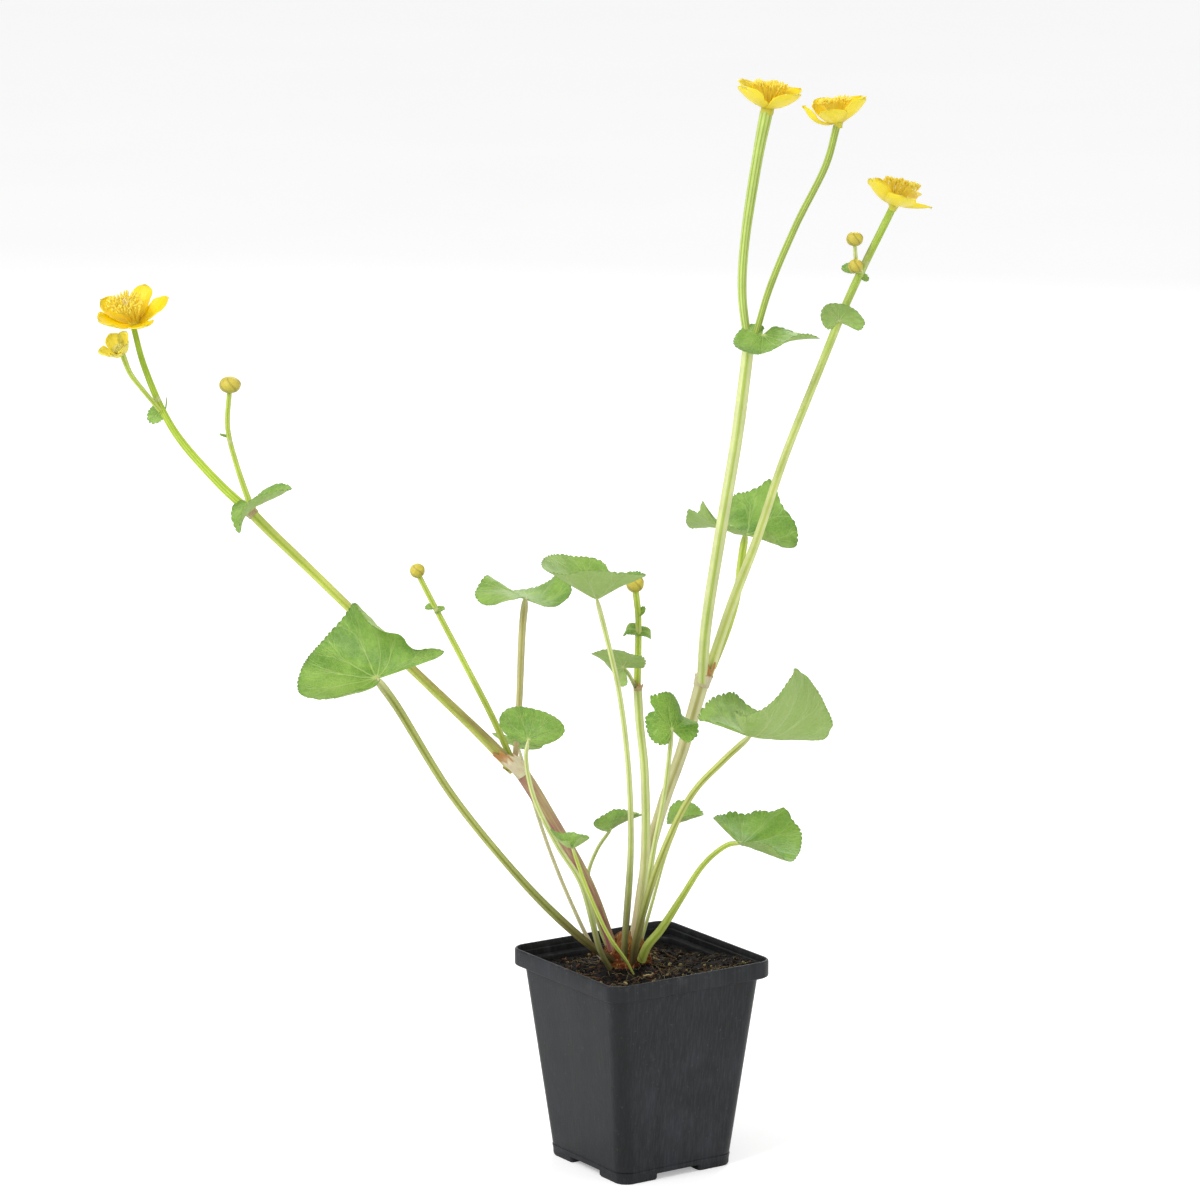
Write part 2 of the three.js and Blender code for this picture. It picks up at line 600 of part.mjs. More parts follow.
function squareRing(half, height, corner) {
  const ring = [];
  const turn = radians(POT_TURN);
  for (let side = 0; side < 4; side += 1) {
    const bearing = radians(45 + 90 * side);
    const reach = (half - corner) * Math.SQRT2;
    for (let i = 0; i <= 3; i += 1) {
      const angle = bearing + radians(-45 + 30 * i);
      const x = reach * Math.cos(bearing) + corner * Math.cos(angle);
      const y = reach * Math.sin(bearing) + corner * Math.sin(angle);
      ring.push(new THREE.Vector3(x, y, height).applyAxisAngle(new THREE.Vector3(0, 0, 1), turn));
    }
  }
  return ring;
}

const BODY_TOP = POT_HEIGHT - RIM_BAND;
const BODY_HALF_TOP = POT_RIM_HALF - 3.6;
const BODY_HALF_FOOT = POT_FOOT_HALF + 0.4;
const bodyHalf = (z) => THREE.MathUtils.mapLinear(z, BASE_BAND, BODY_TOP, BODY_HALF_FOOT, BODY_HALF_TOP);

function potSolid(grow = 0) {
  const inner = POT_WALL + grow;
  const rings = [
    squareRing(POT_FOOT_HALF - 0.6, 0, 6),
    squareRing(POT_FOOT_HALF, 0.8, 6.4),
    squareRing(POT_FOOT_HALF + 0.8, BASE_BAND - 0.2, 7),
    squareRing(BODY_HALF_FOOT, BASE_BAND + 0.2, 7),
    squareRing(BODY_HALF_TOP, BODY_TOP - 0.6, POT_CORNER),
    squareRing(POT_RIM_HALF - 0.5, BODY_TOP, POT_CORNER),
    squareRing(POT_RIM_HALF, BODY_TOP + 0.6, POT_CORNER),
    squareRing(POT_RIM_HALF, POT_HEIGHT - 0.5, POT_CORNER),
    squareRing(POT_RIM_HALF - 0.4, POT_HEIGHT, POT_CORNER - 0.4),
    squareRing(POT_RIM_HALF - inner, POT_HEIGHT, POT_CORNER - 1),
    squareRing(POT_RIM_HALF - inner - 0.2, BODY_TOP + 1.6, POT_CORNER - 1),
    squareRing(BODY_HALF_TOP - inner, BODY_TOP + 1.3, POT_CORNER - 1.2),
    squareRing(bodyHalf(SOIL_LEVEL) - inner, SOIL_LEVEL, POT_CORNER - 1.2),
    squareRing(bodyHalf(4.8) - inner, 4.6 + grow, 5.6),
  ];
  return loft(rings);
}

function footChannel(turn) {
  const shape = new THREE.Shape();
  const half = FOOT_CHANNEL / 2;
  shape.moveTo(-half, -1);
  shape.lineTo(half, -1);
  shape.lineTo(half - 1.6, FOOT_HEIGHT);
  shape.lineTo(-half + 1.6, FOOT_HEIGHT);
  const points = shape.getPoints();
  const outlineAt = (y) => points.map((p) => new THREE.Vector3(p.x, y, p.y));
  return loft([outlineAt(-POT_RIM_HALF), outlineAt(1.5 * POT_RIM_HALF)]).rotate([0, 0, POT_TURN + turn]);
}

function soilHeight(x, y) {
  const far = Math.hypot(x - CROWN_X, y - CROWN_Y);
  const bumps = 0.5 * Math.sin(0.55 * x + 1) * Math.cos(0.48 * y + 0.3);
  return SOIL_LEVEL + SOIL_MOUND * Math.exp(-((far / 19) ** 2)) + bumps;
}

function soilSolid() {
  const edge = bodyHalf(SOIL_LEVEL) - POT_WALL - GAP;
  const rings = [
    squareRing(bodyHalf(5.2) - POT_WALL - GAP - 0.3, 4.6 + GAP, 5.4),
    squareRing(edge, SOIL_LEVEL - 0.6, POT_CORNER - 1.4),
  ];
  for (const share of [0.95, 0.62, 0.28]) {
    const ring = squareRing(edge * share, 0, (POT_CORNER - 1.4) * share);
    ring.forEach((p) => { p.z = soilHeight(p.x, p.y); });
    rings.push(ring);
  }
  return loft(rings);
}

function crownSolid(grow = 0) {
  const profile = [[7, 85], [11.4, 93], [11.8, 99], [9.8, 105], [4.4, 110.5]];
  const rings = profile.map(([radius, height], level) => {
    const ring = [];
    for (let j = 0; j < 12; j += 1) {
      const angle = (2 * Math.PI * j) / 12;
      const lump = 1 + 0.1 * Math.sin(3 * angle + 0.4 * level) + 0.05 * Math.cos(5 * angle);
      const reach = radius * lump + grow;
      const x = CROWN_X + reach * Math.cos(angle);
      const y = CROWN_Y + 0.9 * reach * Math.sin(angle);
      ring.push(new THREE.Vector3(x, y, height + (level === 4 ? grow : 0)));
    }
    return ring;
  });
  return loft(rings);
}

// ---------------------------------------------------------------- assembly

const placedPieces = [];
const group = new THREE.Group();
group.name = 'marsh_marigold';

const overlaps = (a, b) => [0, 1, 2].every((k) => a.min[k] < b.max[k] && b.min[k] < a.max[k]);

// Trims a piece back from everything already placed and adds it to the group.
function place(name, body, grown, material) {
  let trimmed = body;
  for (const other of placedPieces) {
    if (overlaps(trimmed.boundingBox(), other.boundingBox())) trimmed = trimmed.subtract(other);
  }
  const parts = trimmed.decompose().sort((a, b) => b.volume() - a.volume());
  placedPieces.push(grown);
  const mesh = parts[0].getMesh();
  const geometry = new THREE.BufferGeometry();
  geometry.setAttribute('position', new THREE.BufferAttribute(mesh.vertProperties, 3));
  geometry.setIndex(new THREE.BufferAttribute(mesh.triVerts, 1));
  geometry.computeVertexNormals();
  const node = new THREE.Mesh(geometry, material);
  node.name = name;
  group.add(node);
}

const channels = footChannel(0).add(footChannel(90));
place('pot', potSolid().subtract(channels), potSolid(GAP), POT_BLACK);
place('crown', crownSolid(), crownSolid(GAP), CROWN_BROWN);
for (const [name, stem] of Object.entries(STEMS)) {
  place(name, stemSolid(stem), stemSolid(stem, GAP), stem.color);
}
for (const [name, flower] of Object.entries(FLOWERS)) {
  const heart = seated(flowerHeart(flower.heart), flower);
  place(`${name}_heart`, heart, seated(flowerHeart(flower.heart, GAP), flower), STAMEN_YELLOW);
  flower.petals.forEach((shape, n) => {
    const grown = seated(petal(shape, GAP), flower);
    place(`${name}_petal_${n + 1}`, seated(petal(shape), flower), grown, PETAL_YELLOW);
  });
}
for (const [name, bud] of Object.entries(BUDS)) {
  const [at, half, high, lean] = bud;
  place(name, budBody(at, half, high, lean), budBody(at, half + GAP, high + GAP, lean), BUD_YELLOW);
}
place('bud_pair_right', budPair(), budPair(GAP), BUD_YELLOW);
place('flower_half_open', halfFlower(), halfFlower(GAP), PETAL_YELLOW);
for (const [name, leaf] of Object.entries(LEAVES)) {
  place(name, leafSolid(leaf), leafSolid(leaf, GAP), LEAF_GREEN);
}
place('soil', soilSolid(), soilSolid(), SOIL_BROWN);

export default group;
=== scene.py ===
"""Looks for a flowering marsh marigold in its square nursery pot.

Lengths are in millimetres until a mesh is made. The frame stands on the floor with +Z up, +X along the
plant's widest spread and +Y towards the pot's far side.
"""
import logging
import math
from dataclasses import dataclass, replace
from enum import Enum
from functools import cache

import bmesh
import bpy
import numpy as np
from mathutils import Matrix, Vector


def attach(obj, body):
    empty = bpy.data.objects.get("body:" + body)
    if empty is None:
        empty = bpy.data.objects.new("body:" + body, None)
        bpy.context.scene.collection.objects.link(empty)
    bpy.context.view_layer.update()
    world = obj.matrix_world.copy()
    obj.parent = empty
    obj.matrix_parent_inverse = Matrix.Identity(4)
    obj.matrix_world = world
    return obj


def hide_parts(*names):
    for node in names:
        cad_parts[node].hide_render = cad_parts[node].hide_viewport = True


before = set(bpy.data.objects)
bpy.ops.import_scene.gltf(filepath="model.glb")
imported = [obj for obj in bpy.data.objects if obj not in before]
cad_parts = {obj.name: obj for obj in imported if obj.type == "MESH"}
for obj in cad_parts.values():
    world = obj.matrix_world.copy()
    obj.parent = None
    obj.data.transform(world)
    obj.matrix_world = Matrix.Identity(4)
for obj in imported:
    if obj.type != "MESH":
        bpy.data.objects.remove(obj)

LOG = logging.getLogger("marsh_marigold")

Array = np.ndarray
Point = tuple[float, float, float]
Pair = tuple[float, float]
Colour = tuple[float, float, float]
Socket = bpy.types.NodeSocket
Tree = bpy.types.NodeTree
Node = bpy.types.Node
Material = bpy.types.Material

MM = 0.001
GOLDEN_ANGLE = 2.39996
POT_TURN = math.radians(33.56)


class Finish(Enum):
    """Which of a piece's materials a face takes."""

    MAIN = 0
    STALK = 1
    BLADE = 2
    SHEATH = 3


# ------------------------------------------------------------------ numbers over whole arrays


def ease(low: float, high: float, values: Array) -> Array:
    """Smooth step: 0 below low, 1 above high and a cubic between them."""
    t = np.clip((values - low) / (high - low), 0.0, 1.0)
    return t * t * (3.0 - 2.0 * t)


def stacked(*parts: Array | float) -> Array:
    """Numbers side by side along a new last axis, once all are spread to one shape."""
    return np.stack(np.broadcast_arrays(*parts), axis=-1)


def circle(count: int) -> Array:
    """Angles spread evenly once round, from 0."""
    return np.linspace(0, 2 * math.pi, count, endpoint=False)


def path_length(points: tuple[Point, ...]) -> float:
    """Length of the straight spans through some points."""
    return float(np.linalg.norm(np.diff(np.array(points), axis=0), axis=1).sum())


def facing(forward: Array) -> tuple[Array, Array]:
    """Unit side and front of a line with these directions: square to it, the front towards -Y.

    Args:
        forward: Unit steps along a line.

    Returns:
        A unit sideways and a unit frontward vector for each.
    """
    side = np.cross(forward, np.array([0.0, -1.0, 0.0]))
    side /= np.maximum(np.linalg.norm(side, axis=-1, keepdims=True), 1e-9)
    return side, np.cross(side, forward)


def cell_noise(points: Array, scale: float, seed: int) -> Array:
    """Smooth noise between -1 and 1.

    Every corner of a lattice of cells gets a hashed value, and the eight corners round a point are
    blended by a cubic of its place in the cell.

    Args:
        points: Places, in an array whose last axis is x, y, z.
        scale: Size of a cell.
        seed: Picks the pattern.

    Returns:
        One value for each point.
    """
    place = np.asarray(points, float) / scale
    cell = np.floor(place).astype(np.int64)
    part = place - cell
    part = part * part * (3.0 - 2.0 * part)
    total = np.zeros(place.shape[:-1])
    for corner in np.ndindex(2, 2, 2):
        mixed = ((cell + corner) * np.array([73856093, 19349663, 83492791])).sum(-1) + seed * 2654435
        mixed = (mixed ^ (mixed >> 13)) * 1274126177
        value = ((mixed ^ (mixed >> 16)) & 0xFFFF) / 32767.5 - 1.0
        weight = np.prod(np.where(np.array(corner) == 1, part, 1.0 - part), axis=-1)
        total += weight * value
    return total


def smooth_path(points: tuple[Point, ...], count: int) -> Array:
    """Points spread evenly along a centripetal Catmull-Rom curve through the given ones.

    Each span is a cubic whose end slopes come from its neighbours, with the square root of each
    chord as its share of the parameter; the ends are carried on in a straight line.

    Args:
        points: Places the curve runs through.
        count: How many places to give back.

    Returns:
        An array of count rows of x, y, z.
    """
    knots = np.array(points, float)
    knots = np.vstack([2 * knots[0] - knots[1], knots, 2 * knots[-1] - knots[-2]])
    a, b, c, d = knots[:-3], knots[1:-2], knots[2:-1], knots[3:]
    spans = np.linalg.norm(np.diff(knots, axis=0), axis=1)[:, None] ** 0.5
    before, here, after = spans[:-2], spans[1:-1], spans[2:]
    start = ((b - a) / before - (c - a) / (before + here) + (c - b) / here) * here
    end = ((c - b) / here - (d - b) / (here + after) + (d - c) / after) * here
    t = np.linspace(0.0, 1.0, 25)[None, :, None]
    cubic = (
        (2 * t**3 - 3 * t**2 + 1) * b[:, None]
        + (t**3 - 2 * t**2 + t) * start[:, None]
        + (3 * t**2 - 2 * t**3) * c[:, None]
        + (t**3 - t**2) * end[:, None]
    )
    dense = np.vstack([cubic[:, :-1].reshape(-1, 3), knots[-2:-1]])
    run = np.concatenate([[0.0], np.cumsum(np.linalg.norm(np.diff(dense, axis=0), axis=1))])
    places = np.linspace(0.0, run[-1], count)
    return np.stack([np.interp(places, run, dense[:, k]) for k in range(3)], axis=-1)


def spread_values(values: tuple[float, ...], count: int) -> Array:
    """Values spread evenly from first to last, with straight lines between them."""
    return np.interp(np.linspace(0, 1, count), np.linspace(0, 1, len(values)), values)


def turned(points: Array, degrees: float, axis: str) -> Array:
    """Points turned about one of the three axes through the origin.

    Args:
        points: Any array of x, y, z.
        degrees: The angle.
        axis: X, Y or Z.

    Returns:
        The turned points.
    """
    c, s = math.cos(math.radians(degrees)), math.sin(math.radians(degrees))
    x, y, z = points[..., 0], points[..., 1], points[..., 2]
    if axis == "X":
        return stacked(x, c * y - s * z, s * y + c * z)
    if axis == "Y":
        return stacked(c * x + s * z, y, c * z - s * x)
    return stacked(c * x - s * y, s * x + c * y, z)


# ------------------------------------------------------------------ patches and meshes


@dataclass
class Patch:
    """Part of a mesh: points, four-sided faces, and what its materials read.

    Fields:
        points: One row of x, y, z for each point.
        quads: Four point numbers for each face.
        uv: A pair for each corner of each face.
        tint: Three numbers from 0 to 1 for each point, whose meaning is the finish's own.
        finish: A Finish number for each face.
    """

    points: Array
    quads: Array
    uv: Array
    tint: Array
    finish: Array


def grid_patch(
    points: Array, tint: Array | Colour = (0.0, 0.0, 0.0), wrap: bool = False, finish: Finish = Finish.MAIN
) -> Patch:
    """A patch over a grid of points: u runs along the columns from 0 to 1 and v along the rows.

    Args:
        points: Rows by columns by 3.
        tint: One tint for all points, or one for each.
        wrap: Whether the last column joins the first.
        finish: Material of its faces.

    Returns:
        The patch.
    """
    rows, columns = points.shape[:2]
    spans = columns if wrap else columns - 1
    i, j = np.meshgrid(np.arange(rows - 1), np.arange(spans), indexing="ij")
    i, j = i.ravel(), j.ravel()
    right = (j + 1) % columns
    quads = stacked(i * columns + j, i * columns + right, (i + 1) * columns + right, (i + 1) * columns + j)
    u = stacked(j, j + 1, j + 1, j) / spans
    v = stacked(i, i, i + 1, i + 1) / (rows - 1)
    tints = np.broadcast_to(np.asarray(tint, float), (rows, columns, 3)).reshape(-1, 3)
    kinds = np.full(len(quads), finish.value)
    return Patch(points.reshape(-1, 3), quads, stacked(u, v), tints, kinds)


def join(patches: list[Patch]) -> Patch:
    """Several patches as one, with their point numbers moved on.

    Args:
        patches: The patches.

    Returns:
        One patch.
    """
    starts = np.cumsum([0] + [len(p.points) for p in patches[:-1]])
    return Patch(
        np.vstack([p.points for p in patches]),
        np.vstack([p.quads + s for p, s in zip(patches, starts)]),
        np.vstack([p.uv for p in patches]),
        np.vstack([p.tint for p in patches]),
        np.concatenate([p.finish for p in patches]),
    )


def sheet_normals(sheet: Array) -> Array:
    """Unit normals of a grid of points: the cross product of its two slopes at each point.

    Args:
        sheet: Points as rows by columns by 3.

    Returns:
        A unit normal for each point.
    """
    along = np.gradient(sheet, axis=0)
    across = np.gradient(sheet, axis=1)
    normals = np.cross(across, along)
    length = np.linalg.norm(normals, axis=-1, keepdims=True)
    normals = normals / np.maximum(length, 1e-9)
    if length[0].max() < 1e-6:
        first = normals[1].mean(axis=0)
        normals[0] = first / max(np.linalg.norm(first), 1e-9)
    return normals


def shell(
    sheet: Array, thickness: Array | float, upper: Array | Colour, under: Array | Colour, finish: Finish
) -> Patch:
    """A thin closed slab: two skins half a thickness either side of a sheet, and a strip round the edge.

    Args:
        sheet: Rows by columns by 3; its upper side faces across times along.
        thickness: One thickness, or one for each point.
        upper: Tint of the upper skin.
        under: Tint of the under skin.
        finish: Material of its faces.

    Returns:
        The closed patch.
    """
    half = np.broadcast_to(np.asarray(thickness, float), sheet.shape[:2])[..., None] / 2
    normals = sheet_normals(sheet)
    top, bottom = sheet + normals * half, sheet - normals * half
    up = np.broadcast_to(np.asarray(upper, float), sheet.shape)
    down = np.broadcast_to(np.asarray(under, float), sheet.shape)
    patches = [grid_patch(top, up, finish=finish), grid_patch(bottom[:, ::-1], down[:, ::-1], finish=finish)]
    patches[1].uv[..., 0] = 1.0 - patches[1].uv[..., 0]
    width, height = sheet.shape[1] - 1, sheet.shape[0] - 1
    for rows, columns, along_u, fixed in (
        (0, slice(None), True, 0.0), (height, slice(None), True, 1.0),
        (slice(None), 0, False, 0.0), (slice(None), width, False, 1.0),
    ):
        strip = np.stack([top[rows, columns], bottom[rows, columns]])
        tint = np.stack([up[rows, columns], down[rows, columns]])
        patch = grid_patch(strip, tint, finish=finish)
        run = patch.uv[..., 0]
        steady = np.full_like(run, fixed)
        patch.uv = np.stack([run, steady] if along_u else [steady, run], axis=-1)
        patches.append(patch)
    return join(patches)


def tube(
    path: Array,
    radii: Array,
    sides: int,
    tint: Array | Colour = (0.0, 0.0, 0.0),
    finish: Finish = Finish.MAIN,
    ribs: Array | float = 0.0,
) -> Patch:
    """A closed tube: rings square to a path, the first and last drawn in to a point.

    A ring's angle starts on the side that faces -Y and runs round the path. Ribs add to the radius.

    Args:
        path: Rows of x, y, z.
        radii: A radius for each row.
        sides: Points in a ring.
        tint: One tint for all points, one for each row, or one for each row and side.
        finish: Material of its faces.
        ribs: Added radius, one number or one for each side.

    Returns:
        The closed patch.
    """
    forward = np.gradient(path, axis=0)
    forward /= np.linalg.norm(forward, axis=1, keepdims=True)
    side, front = facing(forward)
    angle = circle(sides)
    reach = (radii[:, None] + np.broadcast_to(ribs, (sides,)))[..., None]
    ring = np.cos(angle)[None, :, None] * front[:, None] + np.sin(angle)[None, :, None] * side[:, None]
    body = path[:, None] + ring * reach
    ends = [np.repeat(path[k][None, None], sides, axis=1) for k in (0, -1)]
    points = np.concatenate([ends[0], body, ends[1]], axis=0)
    tints = np.asarray(tint, float)
    if tints.ndim > 1:
        tints = np.concatenate([tints[:1], tints, tints[-1:]])
        tints = tints if tints.ndim == 3 else tints[:, None]
    return grid_patch(points, tints, wrap=True, finish=finish)


def scattered(shape: Patch, places: Array, sizes: Array, turns: Array, tints: Array) -> Patch:
    """Many small copies of one shape in a single patch.

    Args:
        shape: The small shape about the origin.
        places: Where each copy goes.
        sizes: Three scales for each copy.
        turns: A 3 by 3 turn for each copy.
        tints: A tint for each copy.

    Returns:
        All copies as one patch.
    """
    count, size = len(places), len(shape.points)
    points = np.einsum("nij,nkj->nki", turns, shape.points[None] * sizes[:, None]) + places[:, None]
    quads = shape.quads[None] + np.arange(count)[:, None, None] * size
    return Patch(
        points.reshape(-1, 3),
        quads.reshape(-1, 4),
        np.tile(shape.uv, (count, 1, 1)),
        np.repeat(tints, size, axis=0),
        np.tile(shape.finish, count),
    )


def random_turns(rng: np.random.Generator, count: int) -> Array:
    """Turns spread evenly over all directions, from random unit quaternions.

    Args:
        rng: Source of the numbers.
        count: How many.

    Returns:
        A 3 by 3 turn for each.
    """
    q = rng.normal(size=(count, 4))
    w, x, y, z = (q / np.linalg.norm(q, axis=1, keepdims=True)).T
    rows = [
        [1 - 2 * (y * y + z * z), 2 * (x * y - z * w), 2 * (x * z + y * w)],
        [2 * (x * y + z * w), 1 - 2 * (x * x + z * z), 2 * (y * z - x * w)],
        [2 * (x * z - y * w), 2 * (y * z + x * w), 1 - 2 * (x * x + y * y)],
    ]
    return np.array(rows).transpose(2, 0, 1)


def ball(rows: int, columns: int) -> Patch:
    """A unit ball: rings whose radius is the sine of an angle that runs from pole to pole.

    Args:
        rows, columns: Points from pole to pole, and round.

    Returns:
        The ball.
    """
    fall = np.linspace(0, math.pi, rows)[:, None]
    turn = circle(columns)[None]
    points = stacked(np.sin(fall) * np.cos(turn), np.sin(fall) * np.sin(turn), -np.cos(fall))
    return grid_patch(points, wrap=True)


def make_piece(
    name: str, patch: Patch, materials: list[Material], nodes: tuple[str, ...],
    sharp: float = 50.0,
) -> bpy.types.Object:
    """Puts a patch into a mesh object at the origin, hangs it on the root body and hides the CAD nodes it
    replaces.

    Args:
        name: Name of the piece.
        patch: Its surface, in millimetres.
        materials: One material for each Finish number it uses.
        nodes: CAD nodes that it replaces.
        sharp: Angle in degrees past which an edge is shaded sharp.

    Returns:
        The new object.
    """
    mesh = bpy.data.meshes.new(f"{name}_dressed")
    count = len(patch.quads)
    mesh.vertices.add(len(patch.points))
    mesh.vertices.foreach_set("co", (patch.points * MM).astype(np.float32).ravel())
    mesh.loops.add(count * 4)
    mesh.loops.foreach_set("vertex_index", patch.quads.astype(np.int32).ravel())
    mesh.polygons.add(count)
    mesh.polygons.foreach_set("loop_start", np.arange(0, count * 4, 4, dtype=np.int32))
    mesh.polygons.foreach_set("material_index", patch.finish.astype(np.int32))
    mesh.uv_layers.new(name="skin").data.foreach_set("uv", patch.uv.astype(np.float32).ravel())
    tint = mesh.color_attributes.new("tint", "FLOAT_COLOR", "POINT")
    tint.data.foreach_set("color", np.c_[patch.tint, np.ones(len(patch.tint))].astype(np.float32).ravel())
    mesh.update(calc_edges=True)
    work = bmesh.new()
    work.from_mesh(mesh)
    bmesh.ops.remove_doubles(work, verts=work.verts, dist=2e-7)
    bmesh.ops.recalc_face_normals(work, faces=work.faces)
    work.to_mesh(mesh)
    work.free()
    mesh.shade_smooth()
    mesh.set_sharp_from_angle(angle=math.radians(sharp))
    for material in materials:
        mesh.materials.append(material)
    piece = bpy.data.objects.new(f"{name}_dressed", mesh)
    bpy.context.scene.collection.objects.link(piece)
    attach(piece, "root")
    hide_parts(*nodes)
    LOG.info("%s: %d faces", name, len(mesh.polygons))
    return piece


# ------------------------------------------------------------------ node trees


def rgb(red: int, green: int, blue: int) -> Colour:
    """Linear colour of a screen colour given from 0 to 255.

    Args:
        red, green, blue: The screen colour.

    Returns:
        Its three linear parts.
    """
    values = np.array([red, green, blue]) / 255.0
    linear = np.where(values <= 0.04045, values / 12.92, ((values + 0.055) / 1.055) ** 2.4)
    return tuple(float(v) for v in linear)


Feed = Socket | float | tuple
Feeds = dict[str | int, Feed]


@dataclass
class Board:
    """Lays out and links the nodes of one tree."""

    tree: Tree

    def node(self, kind: str, feeds: Feeds | None = None, **settings: object) -> Node:
        """Adds a node.

        Args:
            kind: Its type without the ShaderNode in front.
            feeds: Values or sockets for its inputs.
            **settings: Its other properties.

        Returns:
            The node.
        """
        made = self.tree.nodes.new("ShaderNode" + kind)
        for key, value in settings.items():
            setattr(made, key, value)
        self.feed(made.inputs, feeds or {})
        return made

    def feed(self, sockets: bpy.types.bpy_prop_collection, feeds: Feeds) -> None:
        """Links sockets to others or sets their values, by name or number.

        Args:
            sockets: Inputs of a node.
            feeds: A socket or a value for each.
        """
        for key, value in feeds.items():
            socket = sockets[key]
            if isinstance(value, Socket):
                self.tree.links.new(value, socket)
            else:
                socket.default_value = (*value, 1.0) if socket.type == "RGBA" else value

    def mix(self, share: Feed, first: Feed, second: Feed, blend: str = "MIX") -> Socket:
        """Colour between two colours."""
        feeds = {0: share, 6: first, 7: second}
        return self.node("Mix", feeds, data_type="RGBA", blend_type=blend).outputs[2]

    def shaded(self, colour: Feed, shade: Feed) -> Socket:
        """Colour multiplied by a grey."""
        grey = self.node("CombineColor", {0: shade, 1: shade, 2: shade}).outputs[0]
        return self.mix(1.0, colour, grey, "MULTIPLY")

    def work(self, operation: str, *values: Feed) -> Socket:
        """Result of one sum on numbers."""
        return self.node("Math", dict(enumerate(values)), operation=operation).outputs[0]

    def times(self, first: Feed, second: Feed) -> Socket:
        """Product of two numbers."""
        return self.work("MULTIPLY", first, second)

    def line(self, value: Feed, slope: Feed, start: Feed) -> Socket:
        """A value times a slope, plus a start."""
        return self.work("MULTIPLY_ADD", value, slope, start)

    def band(self, value: Feed, low: float, high: float, start: float = 0.0, end: Feed = 1.0) -> Socket:
        """Smooth step of a value between low and high, from start to end."""
        feeds = {0: value, 1: low, 2: high, 3: start, 4: end}
        return self.node("MapRange", feeds, interpolation_type="SMOOTHSTEP").outputs[0]

    def stretch(self, place: Feed, scale: Point) -> Socket:
        """Coordinates multiplied axis by axis."""
        return self.node("VectorMath", {0: place, 1: scale}, operation="MULTIPLY").outputs[0]

    def noise(self, place: Feed, scale: Feed, detail: float = 3.0, rough: float = 0.55) -> Socket:
        """Cloudy value between 0 and 1."""
        feeds = {"Vector": place, "Scale": scale, "Detail": detail, "Roughness": rough}
        return self.node("TexNoise", feeds).outputs[0]

    def bump(self, height: Feed, distance: float) -> Socket:
        """Normal of a relief whose height is given in metres for a height of 1."""
        return self.node("Bump", {"Height": height, "Distance": distance, "Strength": 1.0}).outputs[0]

    def group(self, tree: Tree, **feeds: Feed) -> bpy.types.bpy_prop_collection:
        """Places a node group and gives back its outputs."""
        return self.node("Group", feeds, node_tree=tree).outputs

    def skin(self) -> tuple[Socket, Socket, Socket]:
        """The piece's own map, and its two numbers: u round or across it, v along it."""
        flat = self.node("UVMap", uv_map="skin").outputs[0]
        split = self.node("SeparateXYZ", {0: flat}).outputs
        return flat, split[0], split[1]

    def tint(self) -> tuple[Socket, ...]:
        """The three numbers that the mesh carries at each point."""
        carried = self.node("Attribute", attribute_name="tint").outputs[0]
        return tuple(self.node("SeparateColor", {0: carried}).outputs)[:3]

    def place(self) -> Socket:
        """Object coordinates."""
        return self.node("TexCoord").outputs["Object"]


def new_group(
    name: str, inputs: dict[str, float | tuple], outputs: tuple[str, ...]
) -> tuple[Board, dict[str, Socket], Node]:
    """Starts a node group with float or vector inputs and float outputs.

    Args:
        name: Name of the group.
        inputs: Default of each input; a tuple makes it a vector.
        outputs: Names of the outputs.

    Returns:
        Its board, its inputs by name and its output node.
    """
    tree = bpy.data.node_groups.new(name, "ShaderNodeTree")
    for key, value in inputs.items():
        kind = "NodeSocketVector" if isinstance(value, tuple) else "NodeSocketFloat"
        tree.interface.new_socket(key, in_out="INPUT", socket_type=kind).default_value = value
    for key in outputs:
        tree.interface.new_socket(key, in_out="OUTPUT", socket_type="NodeSocketFloat")
    source = tree.nodes.new("NodeGroupInput")
    return Board(tree), {key: source.outputs[key] for key in inputs}, tree.nodes.new("NodeGroupOutput")


@cache
def vein_group() -> Tree:
    """Veins of a blade from its map.

    A main vein runs along the middle of each of Count sectors of u. Two pairs of branches leave it
    as v grows, and a net of cells lies between them. Reach is a sector's width in mm at the margin.
    """
    board, ins, out = new_group(
        "leaf veins", {"Skin": (0.0, 0.0, 0.0), "Place": (0.0, 0.0, 0.0), "Count": 9.0, "Reach": 10.0},
        ("Main", "Branch", "Net"),
    )
    split = board.node("SeparateXYZ", {0: ins["Skin"]}).outputs
    wander = board.line(board.noise(ins["Place"], 130.0, 2.0), 0.26, -0.13)
    u = board.work("ADD", board.times(split[0], ins["Count"]), wander)
    v = split[1]
    off = board.work("ABSOLUTE", board.work("SUBTRACT", board.work("FRACT", u), 0.5))
    reach = board.times(ins["Reach"], v)
    main = board.work("DIVIDE", board.times(off, reach), board.line(v, -0.34, 0.46))
    branches = []
    for start, end in ((0.28, 0.25), (0.52, 0.42)):
        line = board.band(v, start, 1.08, 0.0, end)
        gap = board.times(board.work("ABSOLUTE", board.work("SUBTRACT", off, line)), reach)
        fade = board.band(v, start, start + 0.06)
        branches.append(board.times(board.band(gap, 0.06, 0.26, 1.0, 0.0), fade))
    feeds = {"Vector": ins["Place"], "Scale": 560.0}
    cells = board.node("TexVoronoi", feeds, feature="DISTANCE_TO_EDGE").outputs["Distance"]
    board.feed(out.inputs, {
        "Main": board.band(main, 0.35, 1.0, 1.0, 0.0),
        "Branch": board.work("MAXIMUM", *branches),
        "Net": board.band(cells, 0.02, 0.13, 1.0, 0.0),
    })
    return board.tree


